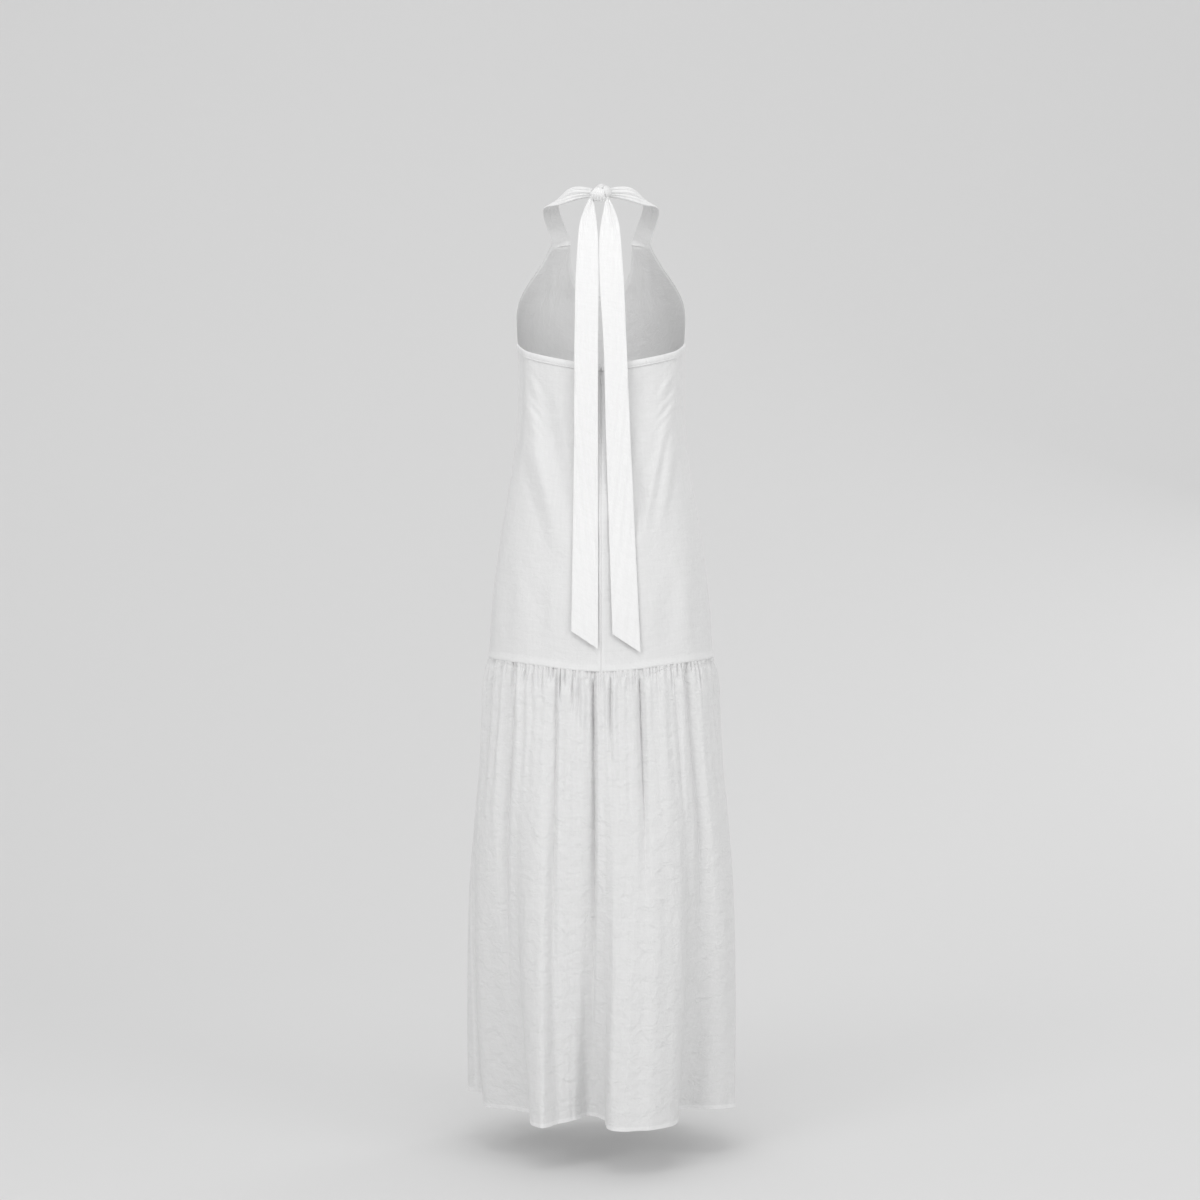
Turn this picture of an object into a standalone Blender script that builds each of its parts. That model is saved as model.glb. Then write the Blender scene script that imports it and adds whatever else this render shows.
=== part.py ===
"""Halter-neck maxi dress with a drop waist and one gathered tier, hanging in its worn, hollow form.

Units are metres and +Z is up. The garment's front faces -Y and its left side is +X. The origin is the
middle of the halter's neck loop, level with the knot at the nape. Every cloth piece is a closed wall.
"""

import math
from collections import namedtuple

import bmesh
import bpy
from mathutils import Matrix, Vector

# Cloth and seams
WALL = 0.0012
GAP = 0.0003
ROUNDNESS = 2.25

# Levels
HEM = -1.438
SEAM_SIDE = -0.7290
SEAM_BACK_DROP = 0.0190
SEAM_FRONT_DROP = 0.0100
SIDE_CORNER = -0.2277

# Back top edge, its turned band and the zip opening at its middle
BACK_TOP = -0.2699
BACK_TOP_CURVE = 1.7
BAND_WIDTH = 0.0100
BAND_WALL = 0.0010
NOTCH_HALF = 0.0020
NOTCH_DEPTH = 0.0060
SLIT_HALF = 0.0011
SLIT_LENGTH = 0.0190

# Halter front: the strap ends and the neckline between them
TIP_HEIGHT = -0.0550
TIP_ANGLE = math.radians(52)
NECKLINE_SHARE = 0.7
NECKLINE_DIP = 0.0800
NECKLINE_CURVE = 2.2
ARMHOLE_CURVE = 0.85

# Concealed zip
TAPE_EDGE = 0.0010
TAPE_WIDTH = 0.0120
TAPE_WALL = 0.0006
TAPE_TOP = -0.2750
TAPE_BOTTOM = -0.6200
TAPE_COLUMNS = 2
TAPE_ROWS = 12
SLIDER = Vector((0.0056, 0.0022, 0.0080))
ARCH_THICKNESS = 0.0009
ARCH_BAR = 0.0007
ARCH_REACH = 0.0026
ARCH_ABOVE = 0.00195
ARCH_BELOW = 0.00165
EYE_CLEARANCE = 0.0002
SLIDER_ABOVE_HINGE = 0.0035
SLIDER_BEVEL = 0.0005
HINGE_HEIGHT = -0.2838
HINGE_OUT = 0.00095
PULL_LENGTH = 0.0170
PULL_HALF = 0.0016
PULL_THICKNESS = 0.0007
PULL_NECK_HALF = 0.0015
PULL_NECK_LENGTH = 0.0040
PULL_ROUND_STEPS = 8
PULL_EYE = Vector((0.0017, 0.0026))
PULL_SWAY = math.radians(4)

# Ties
TIE_WALL = 0.0014
TIE_OFF_TOP = 0.0018
TIE_OFF_END = 0.0045
TIE_CUPPING = 0.0040
TIE_SETTLE = 0.0900
TIE_ROWS = 20
TIE_COLUMNS = 4

# Knot
KNOT_CENTRE = Vector((0.0027, 0.0800, 0.0000))
KNOT_RADII = Vector((0.0150, 0.0110, 0.0118))
KNOT_LOBE = 0.0024
KNOT_LOBE_WIDTH = 0.9
KNOT_SAG = 0.0014

# Through cutters and helpers
CUTTER_HALF = 0.0020

BACK = 1
FRONT = -1

Section = namedtuple("Section", "height half_width back front")
SECTIONS = (
    Section(-0.030, 0.138, 0.080, 0.062),
    Section(-0.055, 0.140, 0.086, 0.072),
    Section(-0.100, 0.142, 0.098, 0.094),
    Section(-0.150, 0.140, 0.101, 0.115),
    Section(-0.2277, 0.1335, 0.098, 0.129),
    Section(-0.2738, 0.1335, 0.098, 0.128),
    Section(-0.349, 0.1350, 0.100, 0.126),
    Section(-0.413, 0.1405, 0.103, 0.126),
    Section(-0.535, 0.1595, 0.111, 0.130),
    Section(-0.637, 0.1725, 0.117, 0.133),
    Section(-0.735, 0.1795, 0.120, 0.136),
    Section(-0.790, 0.1860, 0.127, 0.141),
    Section(-0.903, 0.1955, 0.142, 0.152),
    Section(-0.986, 0.2055, 0.153, 0.161),
    Section(-1.112, 0.2140, 0.167, 0.172),
    Section(-1.237, 0.2165, 0.180, 0.181),
    Section(-1.438, 0.2170, 0.192, 0.190),
)

# Soft folds of the bodice: a ridge is positive. Each runs from its top to its low end.
Fold = namedtuple("Fold", "side x_top z_top x_low z_low width relief")
BODICE_FOLDS = (
    Fold(BACK, 0.112, -0.300, 0.080, -0.480, 0.013, 0.0030),
    Fold(BACK, 0.086, -0.290, 0.052, -0.520, 0.014, -0.0025),
    Fold(BACK, -0.106, -0.300, -0.072, -0.490, 0.013, 0.0030),
    Fold(BACK, -0.080, -0.290, -0.056, -0.540, 0.014, -0.0028),
    Fold(BACK, 0.100, -0.520, 0.104, -0.770, 0.016, -0.0035),
    Fold(BACK, -0.112, -0.500, -0.118, -0.770, 0.017, -0.0035),
    Fold(FRONT, 0.075, -0.330, 0.070, -0.770, 0.020, 0.0040),
    Fold(FRONT, -0.080, -0.330, -0.084, -0.770, 0.020, 0.0040),
    Fold(FRONT, 0.000, -0.360, 0.004, -0.770, 0.024, -0.0040),
)

# Large folds of the tier, from the middle of the back round by the left side: angles in degrees,
# the offset at the hem in metres, and the power by which the fold grows from seam to hem.
TierFold = namedtuple("TierFold", "seam_angle hem_angle hem_offset growth")
TIER_FOLDS = (
    TierFold(-26, -20, 0.010, 1.0),
    TierFold(-12, -8, 0.008, 1.0),
    TierFold(6, 6, -0.062, 0.8),
    TierFold(34, 29, 0.010, 1.0),
    TierFold(60, 56, -0.048, 1.0),
    TierFold(75, 78, -0.006, 1.0),
    TierFold(87, 90, -0.020, 0.9),
    TierFold(100, 102, 0.004, 1.0),
    TierFold(120, 119, -0.040, 1.0),
    TierFold(139, 140, 0.006, 1.0),
    TierFold(158, 159, -0.050, 0.9),
    TierFold(176, 179, 0.008, 1.0),
    TierFold(195, 197, -0.036, 1.1),
    TierFold(214, 215, 0.006, 1.0),
    TierFold(233, 234, -0.050, 0.9),
    TierFold(256, 257, 0.004, 1.0),
    TierFold(268, 268, -0.010, 1.0),
    TierFold(280, 281, 0.006, 1.0),
    TierFold(302, 296, -0.048, 0.9),
    TierFold(322, 322, 0.012, 1.0),
)

# Halter strap on the left, from the front's strap end to the knot: the middle of the strap at each step,
# its width and thickness, and which way it faces.
Station = namedtuple("Station", "step x y z width thickness face_x face_y face_z")
STRAP = (
    Station(0, 0.0650, -0.0660, -0.0535, 0.030, 0.0022, 0.18, -0.93, 0.30),
    Station(1, 0.0740, -0.0470, -0.0300, 0.028, 0.0024, 0.20, -0.62, 0.75),
    Station(2, 0.0800, -0.0180, -0.0130, 0.027, 0.0026, 0.30, -0.18, 0.93),
    Station(3, 0.0775, 0.0140, -0.0070, 0.026, 0.0028, 0.32, 0.25, 0.91),
    Station(4, 0.0620, 0.0420, -0.0030, 0.024, 0.0032, 0.42, 0.72, 0.55),
    Station(5, 0.0400, 0.0610, 0.0025, 0.022, 0.0036, 0.32, 0.93, 0.18),
    Station(6, 0.0196, 0.0710, 0.0015, 0.013, 0.0060, 0.18, 0.98, 0.05),
)
STRAP_RIGHT_SHIFT = 0.0050
STRAP_SHIFT_FROM = 0.8
STRAP_SIDES = 12
STRAP_SECTIONS = 18

# Free ends of the ties: a height, and where the tie's two edges are there.
TieRow = namedtuple("TieRow", "height inner outer")
TIE_LEFT = (
    TieRow(-0.0140, 0.0120, 0.0215),
    TieRow(-0.0240, 0.0098, 0.0255),
    TieRow(-0.0460, 0.0070, 0.0325),
    TieRow(-0.0750, 0.0047, 0.0360),
    TieRow(-0.1380, 0.0039, 0.0395),
    TieRow(-0.2474, 0.0047, 0.0413),
    TieRow(-0.3890, 0.0047, 0.0419),
    TieRow(-0.7130, 0.0046, 0.0466),
)
TIE_RIGHT = (
    TieRow(-0.0140, -0.0055, -0.0150),
    TieRow(-0.0240, -0.0045, -0.0200),
    TieRow(-0.0460, -0.0004, -0.0270),
    TieRow(-0.0750, 0.0026, -0.0308),
    TieRow(-0.1380, 0.0020, -0.0351),
    TieRow(-0.2474, -0.0042, -0.0399),
    TieRow(-0.3890, -0.0078, -0.0459),
    TieRow(-0.7180, -0.0185, -0.0612),
)
TIE_LEFT_ENDS = (-0.7127, -0.6849)
TIE_RIGHT_ENDS = (-0.6896, -0.7182)
# How far back the ties hang between the knot and the panel.
HangRow = namedtuple("HangRow", "height y")
TIE_HANG = (
    HangRow(-0.0140, 0.0850),
    HangRow(-0.0500, 0.0900),
    HangRow(-0.1000, 0.0970),
    HangRow(-0.1700, 0.1030),
    HangRow(-0.2600, 0.1010),
)

# Rows of the back panels, from the seam up: close together beside the zip opening.
BACK_ROWS = (0, 0.11, 0.22, 0.33, 0.44, 0.55, 0.66, 0.76, 0.86, 0.935, 0.957, 0.98, 1)
BACK_COLUMNS = 12
FRONT_LOW_ROWS = 9
FRONT_HIGH_ROWS = 7
FRONT_COLUMNS = 20
TIER_ROWS = 10
TIER_COLUMNS = 50


def clear_scene():
    for thing in list(bpy.data.objects):
        bpy.data.objects.remove(thing, do_unlink=True)


def finish(name, mesh_data, colour, roughness, metallic=0.0):
    """A named object with its own Principled material."""
    mesh = bpy.data.meshes.new(name)
    mesh_data.to_mesh(mesh)
    mesh_data.free()
    obj = bpy.data.objects.new(name, mesh)
    bpy.context.scene.collection.objects.link(obj)
    material = bpy.data.materials.new(name)
    material.use_nodes = True
    shader = material.node_tree.nodes["Principled BSDF"]
    shader.inputs["Base Color"].default_value = (*colour, 1)
    shader.inputs["Roughness"].default_value = roughness
    shader.inputs["Metallic"].default_value = metallic
    obj.data.materials.append(material)
    return obj


def finish_cloth(name, mesh_data):
    return finish(name, mesh_data, (0.86, 0.86, 0.85), 0.9)


def smooth_row(rows, at):
    """The row at a value of the first column, on a smooth curve through the rows."""
    first, last = rows[0][0], rows[-1][0]
    at = min(max(at, min(first, last)), max(first, last))
    low = next(i for i in range(1, len(rows)) if (rows[i][0] - at) * (first - last) <= 0)
    span = rows[low][0] - rows[low - 1][0]
    t = (at - rows[low - 1][0]) / span

    def slope(i, column):
        before, after = rows[max(i - 1, 0)], rows[min(i + 1, len(rows) - 1)]
        return (after[column] - before[column]) / (after[0] - before[0])

    values = []
    for column in range(len(rows[0])):
        start, end = rows[low - 1][column], rows[low][column]
        leave, arrive = slope(low - 1, column) * span, slope(low, column) * span
        values.append(
            (2 * t**3 - 3 * t**2 + 1) * start
            + (t**3 - 2 * t**2 + t) * leave
            + (3 * t**2 - 2 * t**3) * end
            + (t**3 - t**2) * arrive
        )
    return type(rows[0])(*values)


def bell(x):
    """1 at 0, falling smoothly to 0 at 1 and beyond."""
    return 0.5 + 0.5 * math.cos(math.pi * x) if abs(x) < 1 else 0.0


def seam_height(angle):
    """The drop-waist seam: highest at the sides, lower at the middle of the back and front."""
    drop = SEAM_BACK_DROP if math.cos(angle) > 0 else SEAM_FRONT_DROP
    return SEAM_SIDE - drop * math.cos(angle) ** 2


def back_top(angle):
    """The back's top edge, which rises to the side corners."""
    share = min(abs(angle) / (math.pi / 2), 1)
    return BACK_TOP + (SIDE_CORNER - BACK_TOP) * share**BACK_TOP_CURVE


def bodice_relief(side, x, height):
    """How far the bodice's soft folds stand out of its plain form."""
    relief = 0.0
    for fold in BODICE_FOLDS:
        if fold.side != side:
            continue
        t = (height - fold.z_top) / (fold.z_low - fold.z_top)
        middle = fold.x_top + (fold.x_low - fold.x_top) * t
        if 0 < t < 1.3:
            fade = math.sin(math.pi * min(t, 0.5)) if t < 0.5 else bell(max(t - 0.7, 0) / 0.6)
            relief += fold.relief * bell((x - middle) / (2 * fold.width)) * fade
    return relief


def tier_relief(angle, share):
    """The offset of the tier's large folds at an angle, by the share of the way from seam to hem."""
    degrees = math.degrees(angle) % 360
    marks = []
    for fold in TIER_FOLDS:
        place = fold.seam_angle + (fold.hem_angle - fold.seam_angle) * share
        marks.append((place, fold.hem_offset * share**fold.growth))
    marks.append((marks[0][0] + 360, marks[0][1]))
    if degrees > marks[-1][0]:
        degrees -= 360
    for (start, from_offset), (end, to_offset) in zip(marks, marks[1:]):
        if start <= degrees <= end:
            blend = 0.5 - 0.5 * math.cos(math.pi * (degrees - start) / (end - start))
            return from_offset + (to_offset - from_offset) * blend
    return 0.0


def form(angle, height):
    """A point of the dress's outer face. Angle 0 is the middle of the back and +90 degrees the left side."""
    row = smooth_row(SECTIONS, height)
    side = BACK if math.cos(angle) > 0 else FRONT
    depth = row.back if side == BACK else row.front
    across = abs(math.sin(angle) / row.half_width) ** ROUNDNESS
    along = abs(math.cos(angle) / depth) ** ROUNDNESS
    radius = (across + along) ** (-1 / ROUNDNESS)
    seam = seam_height(angle)
    if height < seam:
        radius += tier_relief(angle, (seam - height) / (seam - HEM))
        return Vector((radius * math.sin(angle), radius * math.cos(angle), height))
    x = radius * math.sin(angle)
    y = radius * math.cos(angle)
    return Vector((x, y + side * bodice_relief(side, x, height), height))


def wall(angle, height, out=0.0):
    """A point of the dress's form, moved out along the level normal."""
    step = 0.002
    along = form(angle + step, height) - form(angle - step, height)
    normal = Vector((along.y, -along.x, 0)).normalized()
    if normal.dot(Vector((math.sin(angle), math.cos(angle), 0))) < 0:
        normal.negate()
    return form(angle, height) + normal * out


def back_depth(x, height):
    """The y of the back's outer face at an x."""
    row = smooth_row(SECTIONS, height)
    level = row.back * (1 - abs(x / row.half_width) ** ROUNDNESS) ** (1 / ROUNDNESS)
    return level + bodice_relief(BACK, x, height)


def sheet_solid(columns, rows, place, outer, inner):
    """A closed wall: a grid placed by place(u, v, outer), its twin at place(u, v, inner), and the rim."""
    solid = bmesh.new()
    bmesh.ops.create_grid(solid, x_segments=len(columns) - 1, y_segments=len(rows) - 1, size=1)
    at = {}
    for vertex in solid.verts:
        column = round((vertex.co.x + 1) / 2 * (len(columns) - 1))
        row = round((vertex.co.y + 1) / 2 * (len(rows) - 1))
        at[vertex] = (columns[column], rows[row])
    for vertex, (u, v) in at.items():
        vertex.co = place(u, v, outer)
    bmesh.ops.triangulate(solid, faces=solid.faces[:], quad_method="FIXED")
    rim = [edge for edge in solid.edges if edge.is_boundary]
    copied = bmesh.ops.duplicate(solid, geom=solid.verts[:] + solid.edges[:] + solid.faces[:])
    twin = copied["vert_map"]
    for vertex, (u, v) in at.items():
        twin[vertex].co = place(u, v, inner)
    for edge in rim:
        first, second = edge.verts
        solid.faces.new((first, second, twin[second], twin[first]))
    bmesh.ops.recalc_face_normals(solid, faces=solid.faces[:])
    return solid


def even(count, start=0.0, end=1.0):
    return [start + (end - start) * i / count for i in range(count + 1)]


def zip_half_gap(depth_below_top):
    """Half the opening between the back panels: a notch at the top, a slit for the slider, then the seam."""
    if depth_below_top > SLIT_LENGTH:
        return GAP / 2
    return SLIT_HALF + (NOTCH_HALF - SLIT_HALF) * max(1 - depth_below_top / NOTCH_DEPTH, 0)


def make_back(name, side):
    """A back panel, from the zip opening to the side seam."""

    def place(u, v, out):
        angle = u * math.pi / 2
        top, bottom = back_top(angle), seam_height(angle) + GAP / 2
        height = bottom + (top - bottom) * v
        radius = form(angle, height).length_squared - height**2
        near = zip_half_gap(top - height) / math.sqrt(radius)
        far = math.pi / 2 - GAP / 2 / math.sqrt(radius)
        return wall(side * (near + (far - near) * u), height, out)

    return finish_cloth(name, sheet_solid(even(BACK_COLUMNS), BACK_ROWS, place, 0, -WALL))


def make_back_band(name, side):
    """The turned, topstitched band along the back's top edge, lying on the panel."""

    def place(u, v, out):
        angle = u * math.pi / 2
        height = back_top(angle) - BAND_WIDTH * (1 - v)
        near = zip_half_gap(0) / form(0, height).y
        far = math.pi / 2 - GAP / 2 / form(math.pi / 2, height).x
        return wall(side * (near + (far - near) * u), height, out)

    return finish_cloth(name, sheet_solid(even(BACK_COLUMNS), (0, 1), place, GAP + BAND_WALL, GAP))


def armhole_angle(height):
    """Half the front's spread, measured from the middle of the front."""
    seam_side = math.pi / 2 - GAP / 2 / form(math.pi / 2, SIDE_CORNER).x
    if height <= SIDE_CORNER:
        return seam_side
    share = (height - SIDE_CORNER) / (TIP_HEIGHT - SIDE_CORNER)
    swing = 0.5 + 0.5 * math.cos(math.pi * min(share, 1) ** ARMHOLE_CURVE)
    return TIP_ANGLE + (seam_side - TIP_ANGLE) * swing


def make_front():
    """The halter front: one panel from the seam up to the two strap ends, with a scooped neckline."""

    def top(u):
        share = min(abs(u) / NECKLINE_SHARE, 1)
        return TIP_HEIGHT - NECKLINE_DIP * (1 - share**NECKLINE_CURVE)

    def place(u, v, out):
        bottom = seam_height(math.pi + u * math.pi / 2) + GAP / 2
        height = bottom + (top(u) - bottom) * v
        return wall(math.pi - u * armhole_angle(height), height, out)

    side_bottom = seam_height(math.pi / 2) + GAP / 2
    corner = (SIDE_CORNER - side_bottom) / (TIP_HEIGHT - side_bottom)
    rows = even(FRONT_LOW_ROWS, 0, corner) + even(FRONT_HIGH_ROWS, corner, 1)[1:]
    return finish_cloth("front_bodice", sheet_solid(even(FRONT_COLUMNS, -1, 1), rows, place, 0, -WALL))


def make_tier(name, start):
    """Half of the gathered tier, from one side seam to the other."""

    edge = GAP / 2 / form(math.pi / 2, SEAM_SIDE).x

    def place(u, v, out):
        angle = start + edge + u * (math.pi - 2 * edge)
        top = seam_height(angle) - GAP / 2
        return wall(angle, top + (HEM - top) * v, out)

    return finish_cloth(name, sheet_solid(even(TIER_COLUMNS), even(TIER_ROWS), place, 0, -WALL))


def along_strap(share):
    """A station of the strap, on a smooth curve through the table."""
    return smooth_row(STRAP, share * STRAP[-1].step)


def make_strap(name, side):
    """A halter strap from the front's strap end, over the shoulder, to the knot at the nape."""
    solid = bmesh.new()
    mirror = Matrix.Scale(side, 4, Vector((1, 0, 0)))
    rings = []
    for i in range(STRAP_SECTIONS + 1):
        share = i / STRAP_SECTIONS
        here = along_strap(share)
        ahead = along_strap(min(share + 0.01, 1))
        behind = along_strap(max(share - 0.01, 0))
        run = Vector((ahead.x - behind.x, ahead.y - behind.y, ahead.z - behind.z)).normalized()
        face = Vector((here.face_x, here.face_y, here.face_z))
        if i == 0:
            run = Vector((0, 0, 1))
        face = (face - run * face.dot(run)).normalized()
        across = run.cross(face)
        turn = Matrix((across, face, run)).transposed().to_4x4()
        size = Matrix.Diagonal((here.width / 2, here.thickness / 2, 1, 1))
        middle = Vector((here.x, here.y, here.z))
        if side < 0:
            late = max(share - STRAP_SHIFT_FROM, 0) / (1 - STRAP_SHIFT_FROM)
            middle.x -= STRAP_RIGHT_SHIFT * late
        ends = i in (0, STRAP_SECTIONS)
        ring = bmesh.ops.create_circle(
            solid,
            cap_ends=ends,
            segments=STRAP_SIDES,
            radius=1,
            matrix=mirror @ Matrix.Translation(middle) @ turn @ size,
        )
        rings.append(ring["verts"])
    for near, far in zip(rings, rings[1:]):
        loops = {edge for vertex in near for edge in vertex.link_edges if edge.other_vert(vertex) in near}
        loops |= {edge for vertex in far for edge in vertex.link_edges if edge.other_vert(vertex) in far}
        bmesh.ops.bridge_loops(solid, edges=list(loops))
    bmesh.ops.recalc_face_normals(solid, faces=solid.faces[:])
    return finish_cloth(name, solid)


def make_knot():
    """The knot at the nape, a rounded bundle with a small lobe on top."""
    solid = bmesh.new()
    size = Matrix.Diagonal((*KNOT_RADII, 1))
    bmesh.ops.create_icosphere(solid, subdivisions=3, radius=1, matrix=Matrix.Translation(KNOT_CENTRE) @ size)
    for vertex in solid.verts:
        lift = (vertex.co.z - KNOT_CENTRE.z) / KNOT_RADII.z
        beside = (vertex.co.x - KNOT_CENTRE.x) / KNOT_RADII.x
        vertex.co.z += KNOT_LOBE * max(lift, 0) ** 2 * bell(beside / KNOT_LOBE_WIDTH)
        vertex.co.z -= KNOT_SAG * max(-lift, 0) ** 2
    return finish_cloth("knot", solid)


def make_tie(name, table, ends):
    """The free end of a tie: flat, doubled cloth that falls from the knot and hangs on the back."""
    inner_end, outer_end = ends

    def place(u, v, out):
        end = inner_end + (outer_end - inner_end) * u
        height = table[0].height + (end - table[0].height) * v
        row = smooth_row(table, height)
        x = row.inner + (row.outer - row.inner) * u
        hang = smooth_row(TIE_HANG, height).y
        off = TIE_OFF_TOP + (TIE_OFF_END - TIE_OFF_TOP) * v**2
        middle = (row.inner + row.outer) / 2
        on_back = min(height, BACK_TOP)
        lying = max(back_depth(x, on_back), back_depth(middle, on_back) - TIE_CUPPING)
        blend = min(max((TIE_HANG[-2].height - height) / TIE_SETTLE, 0), 1)
        blend = blend * blend * (3 - 2 * blend)
        return Vector((x, hang + (lying + off - hang) * blend + out, height))

    return finish_cloth(name, sheet_solid(even(TIE_COLUMNS), even(TIE_ROWS), place, TIE_WALL, 0))


def make_zip_tape(name, side):
    """One tape of the concealed zip, inside the back panel beside the centre seam."""

    def place(u, v, out):
        height = TAPE_TOP + (TAPE_BOTTOM - TAPE_TOP) * v
        x = TAPE_EDGE + TAPE_WIDTH * u
        return wall(side * x / back_depth(0, height), height, out)

    front = -WALL - GAP
    solid = sheet_solid(even(TAPE_COLUMNS), even(TAPE_ROWS), place, front, front - TAPE_WALL)
    return finish(name, solid, (0.88, 0.88, 0.87), 0.8)


def block(low, high):
    """A box between two corners."""
    solid = bmesh.new()
    size = high - low
    matrix = Matrix.Translation((low + high) / 2) @ Matrix.Diagonal((*size, 1))
    bmesh.ops.create_cube(solid, size=1, matrix=matrix)
    return solid


def helper(name, low, high):
    """A box that only cuts or joins."""
    obj = finish(name, block(low, high), (0.5, 0.5, 0.5), 0.5)
    obj.hide_render = True
    obj.display_type = "WIRE"
    return obj


def combine(obj, other, operation):
    modifier = obj.modifiers.new(other.name, "BOOLEAN")
    modifier.operation = operation
    modifier.object = other


def make_slider(surface):
    """The slider inside the seam, and the small arch through the slit that holds the pull."""
    inside = surface - WALL - GAP - TAPE_WALL - GAP
    half = SLIDER.x / 2
    top = HINGE_HEIGHT + SLIDER_ABOVE_HINGE
    body = block(
        Vector((-half, inside - SLIDER.y, top - SLIDER.z)),
        Vector((half, inside, top)),
    )
    bmesh.ops.bevel(
        body,
        geom=body.edges[:],
        offset=SLIDER_BEVEL,
        segments=1,
        profile=0.5,
        affect="EDGES",
        material=-1,
    )
    slider = finish("zip_slider", body, (0.80, 0.80, 0.79), 0.35, 0.0)
    thin = ARCH_THICKNESS / 2
    arch = helper(
        "slider_arch",
        Vector((-thin, inside - SLIDER.y / 2, HINGE_HEIGHT - ARCH_BELOW)),
        Vector((thin, surface + ARCH_REACH, HINGE_HEIGHT + ARCH_ABOVE)),
    )
    eye = helper(
        "slider_eye",
        Vector((-CUTTER_HALF, surface + EYE_CLEARANCE, HINGE_HEIGHT - ARCH_BELOW + ARCH_BAR)),
        Vector((CUTTER_HALF, surface + ARCH_REACH - ARCH_BAR, HINGE_HEIGHT + ARCH_ABOVE - ARCH_BAR)),
    )
    combine(slider, arch, "UNION")
    combine(slider, eye, "DIFFERENCE")
    return slider


def make_pull(surface):
    """The drop-shaped pull tab, with the eye that hangs on the slider's arch. Its origin is on the hinge."""
    pivot = Vector((0, surface + HINGE_OUT, HINGE_HEIGHT))
    solid = bmesh.new()
    outline = []
    for i in range(PULL_ROUND_STEPS + 1):
        turn = math.pi * i / PULL_ROUND_STEPS
        low = PULL_HALF - PULL_LENGTH - PULL_HALF * math.sin(turn)
        outline.append(Vector((-PULL_HALF * math.cos(turn), low)))
    outline.append(Vector((PULL_NECK_HALF, -PULL_NECK_LENGTH)))
    outline.append(Vector((PULL_NECK_HALF, PULL_THICKNESS / 2)))
    outline.append(Vector((-PULL_NECK_HALF, PULL_THICKNESS / 2)))
    outline.append(Vector((-PULL_NECK_HALF, -PULL_NECK_LENGTH)))
    corners = [solid.verts.new((point.x, PULL_THICKNESS / 2, point.y)) for point in outline]
    face = solid.faces.new(corners)
    grown = bmesh.ops.extrude_face_region(solid, geom=[face])
    moved = [item for item in grown["geom"] if isinstance(item, bmesh.types.BMVert)]
    bmesh.ops.translate(solid, verts=moved, vec=Vector((0, -PULL_THICKNESS, 0)))
    bmesh.ops.recalc_face_normals(solid, faces=solid.faces[:])
    for vertex in solid.verts:
        if vertex.co.z < -PULL_NECK_LENGTH:
            vertex.co.x += math.tan(PULL_SWAY) * vertex.co.z
    pull = finish("zip_pull", solid, (0.85, 0.85, 0.84), 0.35, 0.0)
    pull.location = pivot
    eye = helper(
        "pull_eye",
        pivot + Vector((-PULL_EYE.x / 2, -CUTTER_HALF, -PULL_THICKNESS / 2 - PULL_EYE.y)),
        pivot + Vector((PULL_EYE.x / 2, CUTTER_HALF, -PULL_THICKNESS / 2)),
    )
    combine(pull, eye, "DIFFERENCE")
    return pull


def main():
    clear_scene()
    make_front()
    make_tier("tier_back", -math.pi / 2)
    make_tier("tier_front", math.pi / 2)
    for word, side in (("left", 1), ("right", -1)):
        make_back("back_" + word, side)
        make_back_band("back_band_" + word, side)
        make_strap("strap_" + word, side)
        make_zip_tape("zip_tape_" + word, side)
    make_knot()
    make_tie("tie_end_left", TIE_LEFT, TIE_LEFT_ENDS)
    make_tie("tie_end_right", TIE_RIGHT, TIE_RIGHT_ENDS)
    surface = back_depth(0, HINGE_HEIGHT)
    make_slider(surface)
    make_pull(surface)


main()
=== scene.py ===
"""Models the looks of a white halter-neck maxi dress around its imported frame.

Units are metres and +Z is up. The front faces -Y and the wearer's left is +X. An angle runs round the
dress: 0 degrees is the middle of the back, +90 the left side seam and 180 the middle of the front.
"""

import math
from collections import namedtuple
from functools import partial

import bmesh
import bpy
import numpy as np
from bpy.props import FloatProperty, FloatVectorProperty, IntProperty, PointerProperty
from bpy.types import Operator, Panel, PropertyGroup
from mathutils import Matrix, Vector


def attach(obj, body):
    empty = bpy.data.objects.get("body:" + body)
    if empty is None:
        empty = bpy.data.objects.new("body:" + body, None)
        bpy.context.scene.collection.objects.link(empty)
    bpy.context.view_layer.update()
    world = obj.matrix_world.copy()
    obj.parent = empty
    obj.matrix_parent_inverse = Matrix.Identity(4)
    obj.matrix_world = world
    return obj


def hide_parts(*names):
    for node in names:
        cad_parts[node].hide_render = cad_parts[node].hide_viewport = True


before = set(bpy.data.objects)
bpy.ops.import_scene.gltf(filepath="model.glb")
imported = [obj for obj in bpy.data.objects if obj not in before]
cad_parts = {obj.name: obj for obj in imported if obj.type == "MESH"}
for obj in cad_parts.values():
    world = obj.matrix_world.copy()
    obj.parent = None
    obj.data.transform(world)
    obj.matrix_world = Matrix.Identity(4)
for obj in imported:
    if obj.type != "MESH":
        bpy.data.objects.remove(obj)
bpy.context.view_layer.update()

bl_info = {
    "name": "Halter Maxi Dress",
    "version": (1, 0, 0),
    "blender": (4, 5, 0),
    "location": "View3D > Sidebar > Dress",
    "description": "Models a white halter-neck maxi dress with a gathered tier around its frame",
    "category": "Add Mesh",
}

BODY = "garment"
COTTON_SLOT = "white_cotton"

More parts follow.
